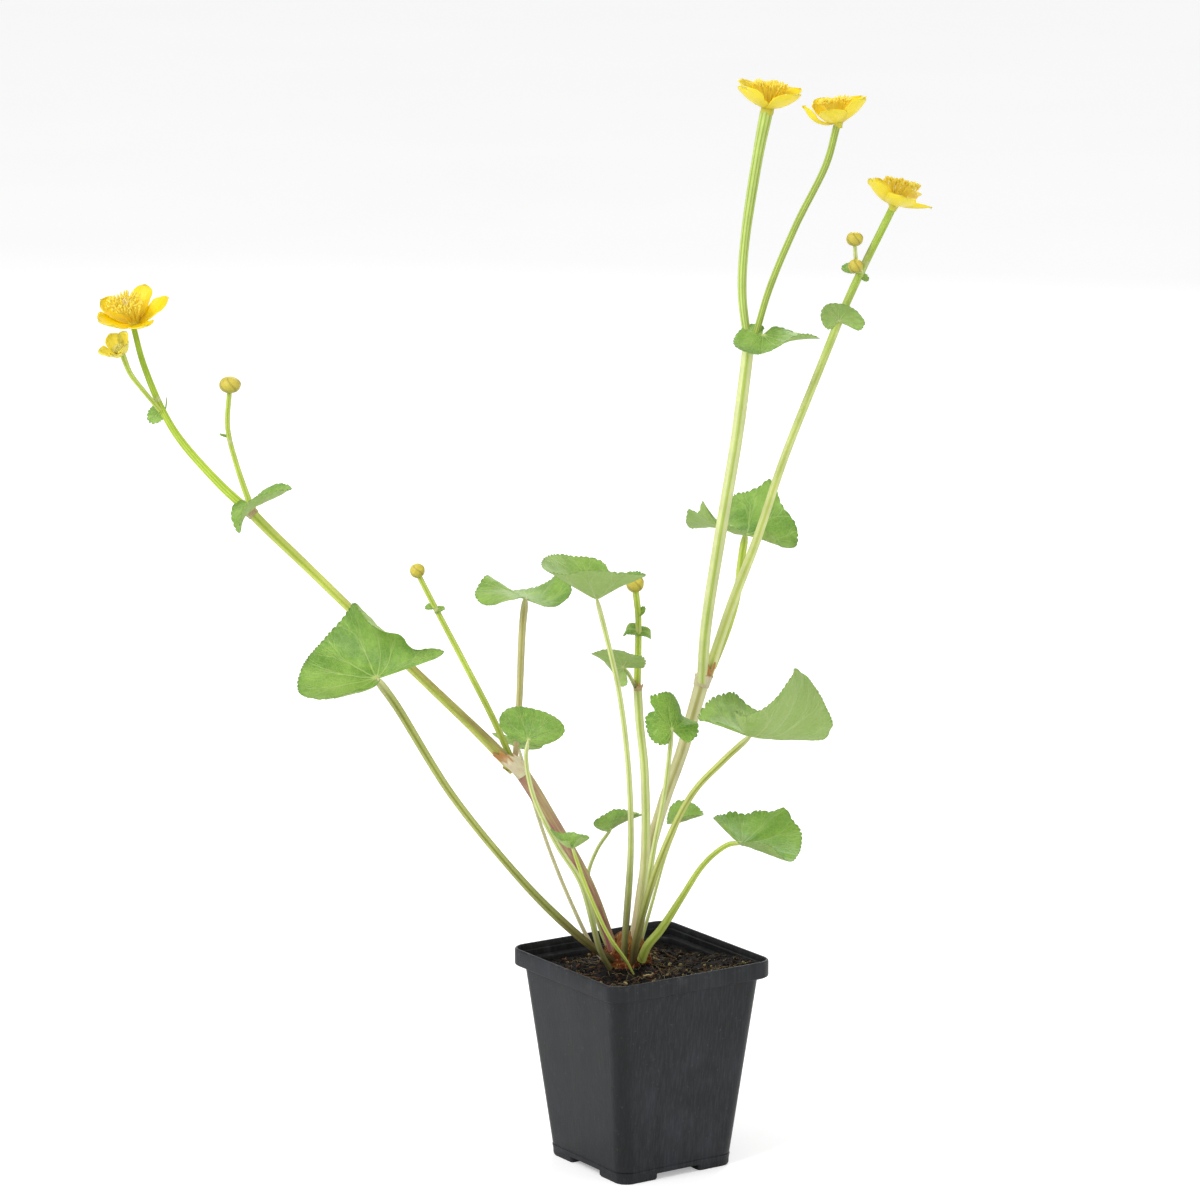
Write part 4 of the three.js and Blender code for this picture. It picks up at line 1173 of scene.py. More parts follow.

# The blades' places, turns, sizes, curls, waves and twists, and some tugs and petals, came out of fitting
# programs and weren't chosen by hand.
LEAVES = (
    Leaf(
        "leaf_left_large", stem=OLIVE, age=(1.0, 0.15), at=(-120.3, -49.8, 241.9), turn=(49, 11, -21),
        wide=31.6, long=26.8, offset=0.35, spread=2.3, curl=(0.78, 2.04, 0.26, -0.01), wave=-0.14,
        phase=-0.41, skew=0.07, twist=-0.51,
        tugs=(
            (-2.3, 1.5, 1), (-0.9, -2, -1.5), (-0.3, 1, -1), (1.4, -1, -1), (1.7, 2, 1.5, 0.1),
            (1.87, 0, -2.5, 0.1), (2, 2, -3), (2.3, 14, 7.5),
        ),
        tooth=0.9, pitch=2.3,
        stalk=(
            (-13, -2, 97), (-22, -6, 104), (-38.5, -15, 121), (-56, -24, 142), (-87, -39, 185.5),
            (-112, -49, 230),
        ),
        radii=(1.8, 2.1, 1.8, 1.8, 1.9, 2.1),
    ),
    Leaf(
        "leaf_center_high", at=(-20.6, -25, 273.4), turn=(133, -4, 2), wide=25, long=20, offset=0.22,
        spread=2.9, curl=(0, 0, 0, 0), cup=0.6,
        tugs=((0, 0, 2.9, 9), (1.2, 2.5, 2, 0.6), (-1.7, 4.5, -4, 0.6), (-0.6, 1, 1), (2.2, 3.5, 0.5)),
        stalk=(
            (-8, -4, 98), (-7.5, -8, 110), (-5, -16, 154), (-6, -20, 191.5), (-10.5, -23, 230),
            (-16.5, -24, 257),
        ),
        radii=(1.6, 1.7, 1.4, 1.3, 1.2, 1.2),
    ),
    Leaf(
        "leaf_center_left", stem=BEIGE, age=(0.7, 0.15), at=(-53.5, -8, 270.5), turn=(27, 4, 27), wide=23.3,
        long=20.5, offset=0.36, spread=2.33, curl=(-1.28, 1.23, -0.01, -0.02), wave=-0.04, phase=-0.24,
        skew=0.12,
        tugs=(
            (-0.3, 0, 3, 0.18), (-0.7, 0, -1.5, 0.25), (0.1, 0, -1.5, 0.3), (1.15, -1, 3, 0.2),
            (1.7, 1.5, 0, 0.3), (2.1, 0, -1, 0.3),
        ),
        stalk=((-58.5, -6.2, 193.5), (-56.5, -6, 221), (-55, -7, 255)), radii=(1.3, 1.5, 1.7, 1.8),
    ),
    Leaf(
        "leaf_low_left", at=(-51.9, -34, 209.7), turn=(-34, 71, 13), wide=14.4, long=8.9, offset=0.75,
        spread=2.49, curl=(-0.1, -0.62, -0.24, 0), wave=0.22, phase=-1.39, twist=0.38, tugs=((-2.5, 1, 0),),
        tooth=0.4,
        stalk=(
            (-14.5, -5.5, 94), (-19, -11, 104), (-28, -20, 139), (-39, -25, 158.5), (-49.5, -30, 182),
            (-53, -33, 201.5),
        ),
        radii=(1.3, 1.5, 1.3, 1.1, 1),
    ),
    Leaf(
        "leaf_right_mid", stem=LIME, age=(0.15, 0.0), at=(49, 44.7, 290.9), turn=(22, 6, 8), wide=26.8,
        long=25.5, offset=0.35, spread=2.89, curl=(0.75, 0.62, 0.2, 0.6), wave=0.22, phase=-1.05, skew=0.04,
        twist=-0.65,
        tugs=(
            (-2.9, -2, 1), (-2.5, 0, 2, 0.3), (0.4, -4, 0, 0.3), (0.6, 0, -2, 0.15), (1.0, 0, 4, 0.15),
            (1.3, -3, 0, 0.18), (2.2, 0, 1), (2.8, 1.5, -2), (-1.3, 0, -3.5, 0.3), (-1.4, -1, 6, 0.12),
            (-1.0, -1.5, 1, 0.12), (2.3, -2, 0, 0.25), (-2.3, 0, 3, 0.3),
        ),
        stalk=((33.6, 27.6, 230.5), (41, 37, 248), (45, 41, 262), (47, 44, 278)), radii=(1.6, 1.8, 1.9),
    ),
    Leaf(
        "leaf_center_low", at=(-8.5, -2, 237.1), turn=(112, 34, 46), wide=15, long=12.5, offset=0.35,
        spread=2.77, curl=(-0.14, 0.77, -0.02, -0.98), wave=-0.19, phase=0.4, skew=-0.06, twist=-0.77,
        tugs=((-2.8, 1, 0), (0, 1, 0), (0.6, 2, -0.5), (1.7, 0.5, -1), (2.8, -0, -2)),
        stalk=((-2.7, 7.4, 225.5), (-6, 2, 233)), radii=(0.9, 1),
    ),
    Leaf(
        "leaf_front_small", at=(-31.9, -38, 160.4), turn=(-34, 15, -4), wide=9.4, long=5.8, offset=0.38,
        spread=2.72, curl=(1.25, 1.24, 0.41, 0.69), wave=0.21, phase=2.23, skew=-0.25, twist=-0.22,
        tugs=((-2.7, 1, 2.5), (-1.6, -1.5, 1.5), (-0.5, 0, 1), (0.5, 0.5, 1), (1.6, 0.5, 2), (2.7, 0.5, 2)),
        stalk=((-3.5, -13, 93.3), (-7, -17, 101), (-15, -24, 114.5), (-25, -32, 139)),
        radii=(0.4, 0.9, 0.95, 0.9, 0.9), stem=LIME, age=(0, 0), tooth=0.4,
    ),
    Leaf(
        "leaf_back_left", stem=PALE, age=(0.7, 0.5), at=(-57.4, 22, 193.8), turn=(0, -26, 20), wide=12.8,
        long=8.5, offset=0.44, spread=2.69, curl=(0.58, 0.43, 1.31, 0.96), wave=-0.09, phase=0.1, skew=-0.1,
        twist=-0.49, tugs=((2.7, 2, -0.5),),
        stalk=((-15, 11, 91), (-22, 15, 98), (-32, 17, 118), (-42.5, 20, 143.5), (-51.5, 22, 171)),
        radii=(1, 0.9, 0.8),
    ),
    Leaf(
        "leaf_back_low", at=(-13.8, 38, 150.5), turn=(-15, 10, -32), wide=11.7, long=8.8, offset=0.49,
        spread=2.54, curl=(1.52, 0.22, 0.5, 0), wave=0.22, phase=1.47, skew=0.26, twist=0.51,
        tugs=((2.5, -0.5, -1),), stalk=((-12, 12, 92), (-19, 24, 105), (-25, 32, 127), (-21, 36, 140)),
        radii=(1, 0.9, 0.9),
    ),
    Leaf(
        "leaf_back_right", at=(17.9, 42, 152.7), turn=(-55, 21, -8), wide=11.5, long=7.9, offset=0.58,
        spread=2.38, curl=(-0.1, 1.21, 0.29, 0.17), wave=-0.07, phase=-1.1, skew=-0.15, twist=0.79, tugs=(),
        stalk=((-3, 13, 91), (5, 29, 115), (12, 38, 138)), radii=(0.9, 0.8, 0.8),
    ),
    Leaf(
        "leaf_right_large", stem=OLIVE, age=(1.0, 0.0), at=(49.2, -38, 212.5), turn=(-61, -17, -4),
        wide=39.6, long=30.5, offset=0.36, spread=2.85, curl=(0.64, 1.97, 0.53, 0.32), wave=-0.17,
        phase=2.45, skew=0.05, twist=-0.34,
        tugs=((0, 0, 2.5, 9), (-0.3, 1, 1, 0.4), (0.4, -1, -1), (0.9, 0, 2.5), (-2.5, 0, 3, 0.4)),
        lobe=(-3.0, -1.3, 2.2),
        stalk=((-4, -6, 97), (-2.5, -12, 109.5), (8, -22, 149), (23, -32, 184), (36.5, -36, 200)),
        radii=(1.5, 1.8, 1.7, 1.5, 1.5),
    ),
    Leaf(
        "leaf_center_front", at=(13.8, -22, 212), turn=(27, 67, -11), wide=13.4, long=12.9, offset=0.35,
        spread=2.74, curl=(-0.75, -0.63, -0.23, 0), wave=-0.14, phase=-1.64, skew=0.11, twist=0.54,
        tugs=(
            (2.7, 2, -0.5), (-0.78, 3.6, -0.5, 0.12), (-0.5, -0.5, 1.5, 0.12), (0.95, -1.8, 0, 0.2),
            (1.5, 1, 1.5, 0.2),
        ),
        skin=VIVID, tooth=1.1, pitch=2.2,
        stalk=((-3, -2, 98), (0, -8, 115.5), (5.5, -14, 152.5), (10.5, -18, 181), (13, -21, 203)),
        radii=(1.2, 1.4, 1.2, 1.1),
    ),
    Leaf(
        "leaf_right_low", stem=LIME, age=(0, 0), at=(46.5, -15, 156.5), turn=(-57, -6, 14), wide=21.9,
        long=21.4, offset=0.35, spread=2.39, curl=(0.36, 0.2, 0.23, -0.1), wave=-0.05, phase=-1.35,
        twist=0.26,
        tugs=(
            (0, 0, 3.2, 9), (-0.34, 1.5, 4, 0.14), (-0.1, 2, -0.5, 0.2), (0.15, 1, 0, 0.2),
            (1.05, 1, -2.5, 0.25), (1.55, 0, 3.6, 0.3), (2, 0, 1.6, 0.3), (-1, 0, -4, 0.25),
            (-0.55, 0, -1.5, 0.2), (-1.45, 0, -1.6, 0.2), (-2.3, 1, 3, 0.3),
        ),
        skin=BladeSkin("low right leaf", rgb(118, 164, 50), rgb(86, 138, 32)), tooth=1.0,
        stalk=(
            (0, -2, 97), (3, -5, 105), (9, -5, 112.5), (19, -7, 129), (27.5, -10, 143.5), (34, -12, 151),
            (41, -14, 156),
        ),
        radii=(2.3, 2, 1.5, 1.3, 1.2),
    ),
    Leaf(
        "bract_left", at=(-177.1, -18.5, 316.4), turn=(213, 0, 27), wide=16.6, long=15.1, offset=0.42,
        spread=2.66, curl=(-0.15, -0.55, 0.93, 1.19), wave=0.17, phase=-0.1, tugs=((2.7, 1, -0),),
    ),
    Leaf(
        "bract_right_mid", at=(55.5, 10, 390.2), turn=(169, -48, -10), wide=17.6, long=13.1, offset=0.36,
        spread=2.6, curl=(0.22, -0.37, 1.19, 0.05), wave=-0.16, phase=1.45, skew=-0.29, twist=0.34,
        tugs=((-1.9, 1.5, -0.5), (-1.5, 4, -0.5), (2.6, 2, -1)),
    ),
    Leaf(
        "bract_right_high", at=(91.2, 32.4, 393.3), turn=(166, 82, 7), wide=11.9, long=9.2, offset=0.35,
        spread=2.33, curl=(-0.81, -0.52, -1.02, 0.36), wave=0.03, phase=-0.43, skew=-0.29,
        tugs=((-2.3, 1.5, 0.5),),
    ),
)


# ------------------------------------------------------------------ stems


@dataclass(frozen=True)
class Sheath:
    """A torn papery collar round a stem.

    Fields:
        reach: How far down from the stem's top it starts, and how far up it ends, in mm.
        wrap: How much of the way round it goes, in radians.
        bearing: Where its opening faces, in radians from the front.
        flare: How far its lip stands off the stem.
        jag: Depth of its tears.
        dark: Darkness from 0 to 1.
        seed: Picks its tears.
    """

    reach: Pair
    wrap: float
    bearing: float
    flare: float
    jag: float
    dark: float
    seed: int


SCALE_SKIN = BladeSkin("scale leaf", veins=3, reach=5.0)


def scale_leaf(
    at: Point, turn: Point, wide: float, long: float, droop: float = 0.4, spread: float = 2.2
) -> Leaf:
    """A tiny toothed blade grown fast to a stem; droop bends its tip.

    Args:
        at, turn, wide, long, spread: As in Leaf.
        droop: Roll of its tip.

    Returns:
        The blade.
    """
    return Leaf(
        "scale", at, turn, wide, long, 0.6, spread, (0.2, 0.2, droop, 0), tooth=0.5, pitch=1.3,
        seed=int(abs(at[0]) + wide * 7) + 2,
    )


@dataclass
class Stem:
    """A ribbed stem with its scale leaves and sheath.

    Fields:
        name: Name of its node.
        path, radii: The line it follows and its radii, spread evenly along it.
        skin: Its finish.
        age, stain: Age and purple stain at three places along it.
        side, cling: Bearing from the front that age and stain cling to, and how much they do, from 0 to 1.
        scales: Its scale leaves.
        sheaths: Its papery collars.
        slot: Name of a material slot; not used.
        rings: Pale rings, as a place along it from 0 to 1.
        paper: Finish of its collars.
    """

    name: str
    path: tuple[Point, ...]
    radii: tuple[float, ...]
    skin: StalkSkin = StalkSkin("stem")
    age: tuple[float, float, float] = (0.0, 0.0, 0.0)
    stain: tuple[float, float, float] = (0.0, 0.0, 0.0)
    side: float = 0.0
    cling: float = 0.0
    scales: tuple[Leaf, ...] = ()
    sheaths: tuple[Sheath, ...] = ()
    slot: str = "stem"
    rings: tuple[float, ...] = ()
    paper: PaperSkin = PaperSkin("stem sheath")

    def body(self) -> Patch:
        """The stem itself: a tube with five soft ribs and a slightly uneven girth."""
        length = path_length(self.path)
        count = max(int(length / 1.7), 8)
        path = smooth_path(self.path, count)
        share = np.linspace(0, 1, count)
        radii = spread_values(self.radii, count) * 0.96
        radii = radii * (1 + 0.02 * cell_noise(path, 9.0, 4))
        angle = circle(28)
        ribs = 0.045 * radii.mean() * np.cos(5 * angle)
        age = np.interp(share, [0, 0.5, 1], self.age)
        ring = sum((np.exp(-(((share - at) * length / 0.9) ** 2)) for at in self.rings), 0 * share)
        stain = np.interp(share, [0, 0.5, 1], self.stain) + 0.2 * ring
        worn = 1 - self.cling * (0.5 - 0.5 * np.cos(angle - self.side))[None]
        spot = stacked(3 * np.cos(angle), 3 * np.sin(angle), 0.16 * path[:, 2:])
        worn = worn * (1 + 0.5 * cell_noise(spot, 1.0, 8))
        tint = stacked(age[:, None] * worn, stain[:, None] * worn, 0.6 * ring[:, None])
        tint = np.clip(tint, 0, 1)
        return tube(path, radii, 28, tint, Finish.MAIN, ribs)

    def collar(self, sheath: Sheath) -> Patch:
        """A collar: a sheet wrapped round the stem whose lip flares and is torn into jags.

        Args:
            sheath: Its sizes.

        Returns:
            A thin closed slab.
        """
        length = path_length(self.path)
        low, high = 1 - sheath.reach[0] / length, 1 - sheath.reach[1] / length
        path = smooth_path(self.path, 200)
        share = np.linspace(0, 1, 14)[:, None]
        angle = sheath.bearing + math.pi + np.linspace(-0.5, 0.5, 60)[None] * sheath.wrap
        tear = 0.5 + 0.5 * cell_noise(stacked(np.cos(angle), np.sin(angle), 0), 0.35, sheath.seed)
        level = low + (high - low) * share * (1 - sheath.jag * tear**2)
        spot = np.clip(level, 0, 1) * 199
        number = np.clip(spot.astype(int), 0, 198)
        part = (spot - number)[..., None]
        forward = np.gradient(path, axis=0)
        forward = (forward / np.linalg.norm(forward, axis=1, keepdims=True))[number]
        centre = path[number] * (1 - part) + path[number + 1] * part
        centre = centre + forward * ((level - np.clip(level, 0, 1)) * length)[..., None]
        side, front = facing(forward)
        radius = np.interp(level, np.linspace(0, 1, len(self.radii)), self.radii)
        radius = radius + 0.25 + sheath.flare * share**2.2 * (0.6 + 0.6 * tear)
        out = np.cos(angle)[..., None] * front + np.sin(angle)[..., None] * side
        sheet = centre + out * radius[..., None]
        dark = np.clip(sheath.dark + 0.25 * cell_noise(sheet, 2.5, 8), 0, 1)
        torn = ease(0.86, 1.0, share)
        tint = stacked(dark, torn * 0.8, 0.3 * (1 - share))
        return shell(sheet, 0.24, tint, tint, Finish.SHEATH)

    def build(self) -> bpy.types.Object:
        """Makes the stem's object."""
        patches = [self.body()]
        for scale in self.scales:
            patch = scale.blade(12, 0.4)
            patch.finish[:] = Finish.BLADE.value
            patches.append(patch)
        patches += [self.collar(sheath) for sheath in self.sheaths]
        finishes = dressed(self.skin, self.skin, SCALE_SKIN, self.paper)
        return make_piece(self.name, join(patches), finishes, (self.name,))


STEMS = (
    Stem(
        "stem_left_lower",
        (
            (-12, 1, 98), (-16.5, 1, 112), (-25.5, -2, 136), (-41.5, -6, 165), (-55.5, -8, 188.5),
            (-60, -8, 193.5),
        ),
        (2.3, 2.4, 2.5, 3, 3.3, 3.4), OLD_LEFT, (1, 0.9, 0.7), (1.0, 0.75, 0.6), -0.8, 0.55,
        sheaths=(
            Sheath((8.0, -4.5), 2.5, 3.5, 0.5, 0.5, 0.0, 11),
            Sheath((2.5, -9.5), 1.6, 2.7, 0.8, 0.8, 0.75, 18),
        ),
        slot="old_stem",
    ),
    Stem(
        "stem_left_middle",
        (
            (-58.5, -8, 190), (-73.5, -9, 206), (-103.5, -11, 236), (-152.5, -13, 285.5),
            (-172.5, -14, 305.5), (-179.5, -14, 313),
        ),
        (3, 2.4, 2.2, 2.1, 2.2, 2.5), OLIVE_STEM, (1.0, 0.4, 0), (0.45, 0, 0), 1.6, 0.85,
        sheaths=(
            Sheath((3.5, -2.0), 3.4, 3.0, 0.7, 0.6, 0.35, 12),
            Sheath((172.5, 168), 2.2, 1.2, 0.5, 0.7, 0.3, 17),
        ),
    ),
    Stem(
        "stem_left_upper",
        (
            (-178.5, -14, 311.5), (-193.7, -16, 326.5), (-213.2, -18, 351), (-225.3, -20, 379.5),
            (-230, -20, 398),
        ),
        (2.2, 2, 1.85, 1.65, 1.45, 1.3), LEFT_TOP, (0, 0.25, 0.8), rings=(0.66,),
        scales=(
            replace(
                scale_leaf((-218, -17.6, 360.3), (84, -48, -75), 4, 5.4, 0.2, 1.25), tooth=1.0, pitch=1.8,
            ),
            scale_leaf((-216.5, -18, 360), (-90, 72, 0), 1.2, 3.4),
        ),
    ),
    Stem(
        "bud_stalk_left_low",
        ((-59, -5.4, 191.4), (-69, 0, 212.8), (-82.5, 3, 239), (-95.5, 5, 264), (-102.6, 5, 278.3)),
        (1.6, 1.5, 1.4, 1.3), LIME, (0.35, 0, 0), rings=(0.82,),
        scales=(
            scale_leaf((-95.3, 4.6, 262), (-100, 35, 40), 2, 3, -0.8),
            scale_leaf((-95.8, 5, 264), (95, 10, -50), 1.8, 3, -1),
        ),
    ),
    Stem(
        "bud_stalk_left_high",
        ((-178.6, -11.8, 313.8), (-185.5, -5, 332.5), (-189.3, -4, 349), (-188.3, -4, 366)),
        (1.5, 1.3, 1.2, 1.2), LIME, rings=(0.58,),
        scales=(scale_leaf((-189.2, -4, 345.2), (90, 8, -40), 0.8, 2.6),),
    ),
    Stem(
        "stem_right_lower",
        ((-5, 7, 98), (-2, 8, 111.5), (3.5, 12, 144), (11.2, 17, 170), (19.2, 20, 192.5), (29, 24, 226)),
        (2.6, 2.8, 2.8, 2.8, 3.1, 3.5), OLD_RIGHT, (1.0, 0.35, 0.2), (0.7, 0, 0), -0.6, 0.4,
        sheaths=(
            Sheath((3.6, -2.6), 3.6, 3.3, 0.7, 1.1, 0.0, 13),
            Sheath((1.0, -10.0), 1.5, 3.45, 0.6, 0.8, 0.75, 14),
        ),
        slot="old_stem",
    ),
    Stem(
        "stem_right_tall",
        (
            (28.5, 22, 224.5), (30, 21, 250), (36.5, 16, 296), (43.7, 14, 341), (47.4, 13, 371),
            (49.5, 13, 390),
        ),
        (2.6, 2.7, 2.8, 2.8, 2.9, 2.7),
    ),
    Stem(
        "flower_stalk_top", ((48.5, 14, 387), (46, 16, 408), (47, 17, 431), (53, 19, 472), (56.7, 20, 491)),
        (1.9, 2.1, 2.2, 2.4, 2.6, 3.1), FRESH,
    ),
    Stem(
        "flower_stalk_top_right",
        ((51.7, 12, 388), (58.2, 9, 411.3), (70, 5, 441), (83.5, 2, 469.5), (88, 2, 486.5)),
        (1.6, 1.6, 1.6, 1.6, 1.7), TOP_RIGHT,
    ),
    Stem(
        "stem_right_side",
        (
            (31.2, 25.4, 227.5), (43.3, 30, 263), (53.5, 32, 289.5), (66.2, 34, 328), (81.3, 35, 367),
            (96.3, 34, 405), (115.3, 32, 445.5),
        ),
        (2.5, 2.4, 2.1, 2, 2, 1.9, 1.8), SIDE, (0, 0.25, 0.9), rings=(0.88,),
        scales=(
            scale_leaf((100.5, 33.4, 417.6), (88, 6, -60), 2.8, 5.2, -0.4),
            scale_leaf((101.6, 33.6, 414.6), (-80, -42, 60), 1.9, 2.6),
        ),
    ),
    Stem(
        "stem_center_lower",
        ((-3.5, 3, 99), (-2.2, 3, 111), (1.8, 4, 143), (1.5, 6, 186), (-0.8, 8, 209), (-1.8, 9, 226)),
        (2.4, 2.5, 2.3, 2.1, 2, 2.1), PALE, (0.35, 0, 0), (0.5, 0, 0),
        sheaths=(Sheath((2.2, -3.4), 1.7, 3.3, 1.0, 1.4, 0.5, 15),),
    ),
    Stem(
        "stem_center_upper", ((-2, 9, 224), (-1.5, 10, 242.5), (-1.5, 10, 259), (-2.7, 10, 270.5)),
        (1.8, 1.7, 1.5, 1.6), LIME, rings=(0.6,),
        scales=(
            scale_leaf((-1.8, 9.6, 251.6), (92, 30, -50), 3.4, 6.6, -2.4),
            scale_leaf((-1.2, 9.8, 251.4), (-92, 5, 50), 2.8, 6, -1.9),
            scale_leaf((-1.4, 9.8, 259.6), (-90, 35, 40), 2.2, 3, 0.6),
        ),
    ),
)


# ------------------------------------------------------------------ flowers and buds


@dataclass(frozen=True)
class Petal:
    """A petal of a flower whose axis is +Z.

    Fields:
        bearing: Its direction in degrees.
        long, wide: Its size.
        lift: Slope at its base in degrees.
        bend: How far it curls up along its length in degrees.
        cup: How far it is hollowed across, in radians from the middle to the edge.
        seed: Picks its ruffles.
    """

    bearing: float
    long: float
    wide: float
    lift: float
    bend: float
    cup: float = 0.6
    seed: int = 1

    def sheet(self, rows: int = 26, columns: int = 18) -> Array:
        """The petal's middle sheet.

        Its half width swells as a sine to 0.62 of the length and closes as an ellipse. A row is an
        arc, and the rows climb along an arc whose slope grows evenly from lift by bend.

        Args:
            rows: Rows along it.
            columns: Columns across it.

        Returns:
            Points as rows by columns by 3.
        """
        share = np.sin(np.linspace(0, math.pi / 2, rows)) ** 1.15
        t = (share * 0.985)[:, None]
        grow = 0.34 + 0.66 * np.sin(math.pi * t / 1.24) ** 0.85
        close = np.maximum(1 - (np.maximum(t - 0.62, 0) / 0.365) ** 2.3, 0.0) ** 0.5
        half = self.wide / 2 * np.where(t < 0.62, grow, close)
        start, k = math.radians(self.lift), math.radians(self.bend) / self.long
        slope = start + k * t * self.long
        out = 1.2 + (np.sin(slope) - math.sin(start)) / k
        up = (math.cos(start) - np.cos(slope)) / k
        place = np.linspace(-1, 1, columns)[None]
        radius = self.wide / 2 / self.cup
        edge = stacked(np.sign(place) * 2, t * 6, self.seed * 3.1)
        ragged = 0.09 * cell_noise(edge, 1.0, 31) + 0.05 * cell_noise(edge, 0.4, 32)
        ragged = 1 + ragged * ease(0.2, 0.5, t)
        across = half * place * ragged / radius
        spot = stacked(place * 3, t * 5, self.seed * 7.7)
        crumple = 0.8 * cell_noise(spot, 1.3, 21) + 0.4 * cell_noise(spot, 0.6, 22)
        crumple = crumple * np.abs(place) ** 1.3 * t
        crumple = crumple + 0.3 * np.sin(9 * t + self.seed) * place**4 * ease(0.2, 0.6, t)
        crease = -0.22 * np.exp(-((place / 0.16) ** 2)) * np.sin(math.pi * np.clip(t, 0, 1))
        rise = radius * (1 - np.cos(across)) + crumple + crease
        out = out - 0.9 * np.exp(-((place / 0.22) ** 2)) * ease(0.8, 0.985, t) * (self.seed % 3) / 2
        out = out + 0.7 * cell_noise(spot * np.array([1.0, 0.0, 1.0]), 0.8, 23) * t**3
        points = stacked(radius * np.sin(across), out - rise * np.sin(slope), up + rise * np.cos(slope))
        return turned(points, self.bearing - 90, "Z")

    def patch(self, thick: float = 0.42) -> Patch:
        """The petal as a thin closed slab.

        Args:
            thick: Thickness, less towards the tip.

        Returns:
            The slab.
        """
        sheet = self.sheet()
        t = np.linspace(0, 1, sheet.shape[0])[:, None]
        side = np.abs(np.linspace(-1, 1, sheet.shape[1]))[None]
        worn = 0.25 * ease(0.9, 1.0, np.maximum(t, side)) * ease(0.2, 0.7, cell_noise(sheet, 2.5, self.seed))
        green = 0.35 * ease(0.12, 0.0, t)
        up = stacked(0, green, worn)
        down = stacked(1, 0.5 * ease(0.45, 0.0, t) * (1 - 0.6 * side), worn)
        return shell(sheet, thick * (1.1 - 0.6 * t**2), up, down, Finish.MAIN)


def seated(points: Array, lean: Pair, at: Point) -> Array:
    """Points built about +Z, tilted towards a bearing and moved to their seat."""
    angle, bearing = lean
    return turned(turned(turned(points, -bearing, "Z"), angle, "Y"), bearing, "Z") + np.array(at)


PETAL_SKIN = PetalSkin("petals")
YOUNG_SKIN = PetalSkin("young petals", rgb(255, 232, 84), rgb(252, 232, 100), rgb(236, 214, 78))
BRUSH = BodySkin("stamens", rgb(255, 226, 70), rgb(255, 240, 110), rgb(255, 212, 44), 1400.0, 0.00006, 0.55)
YOUNG_BRUSH = BodySkin(
    "young stamens", rgb(232, 226, 130), rgb(236, 226, 130), rgb(220, 208, 96), 1400.0, 0.00006
)
SEAT = BodySkin("flower seat", rgb(206, 202, 66), rgb(212, 200, 62), rgb(222, 204, 70), 900.0, 0.0001, 0.45)


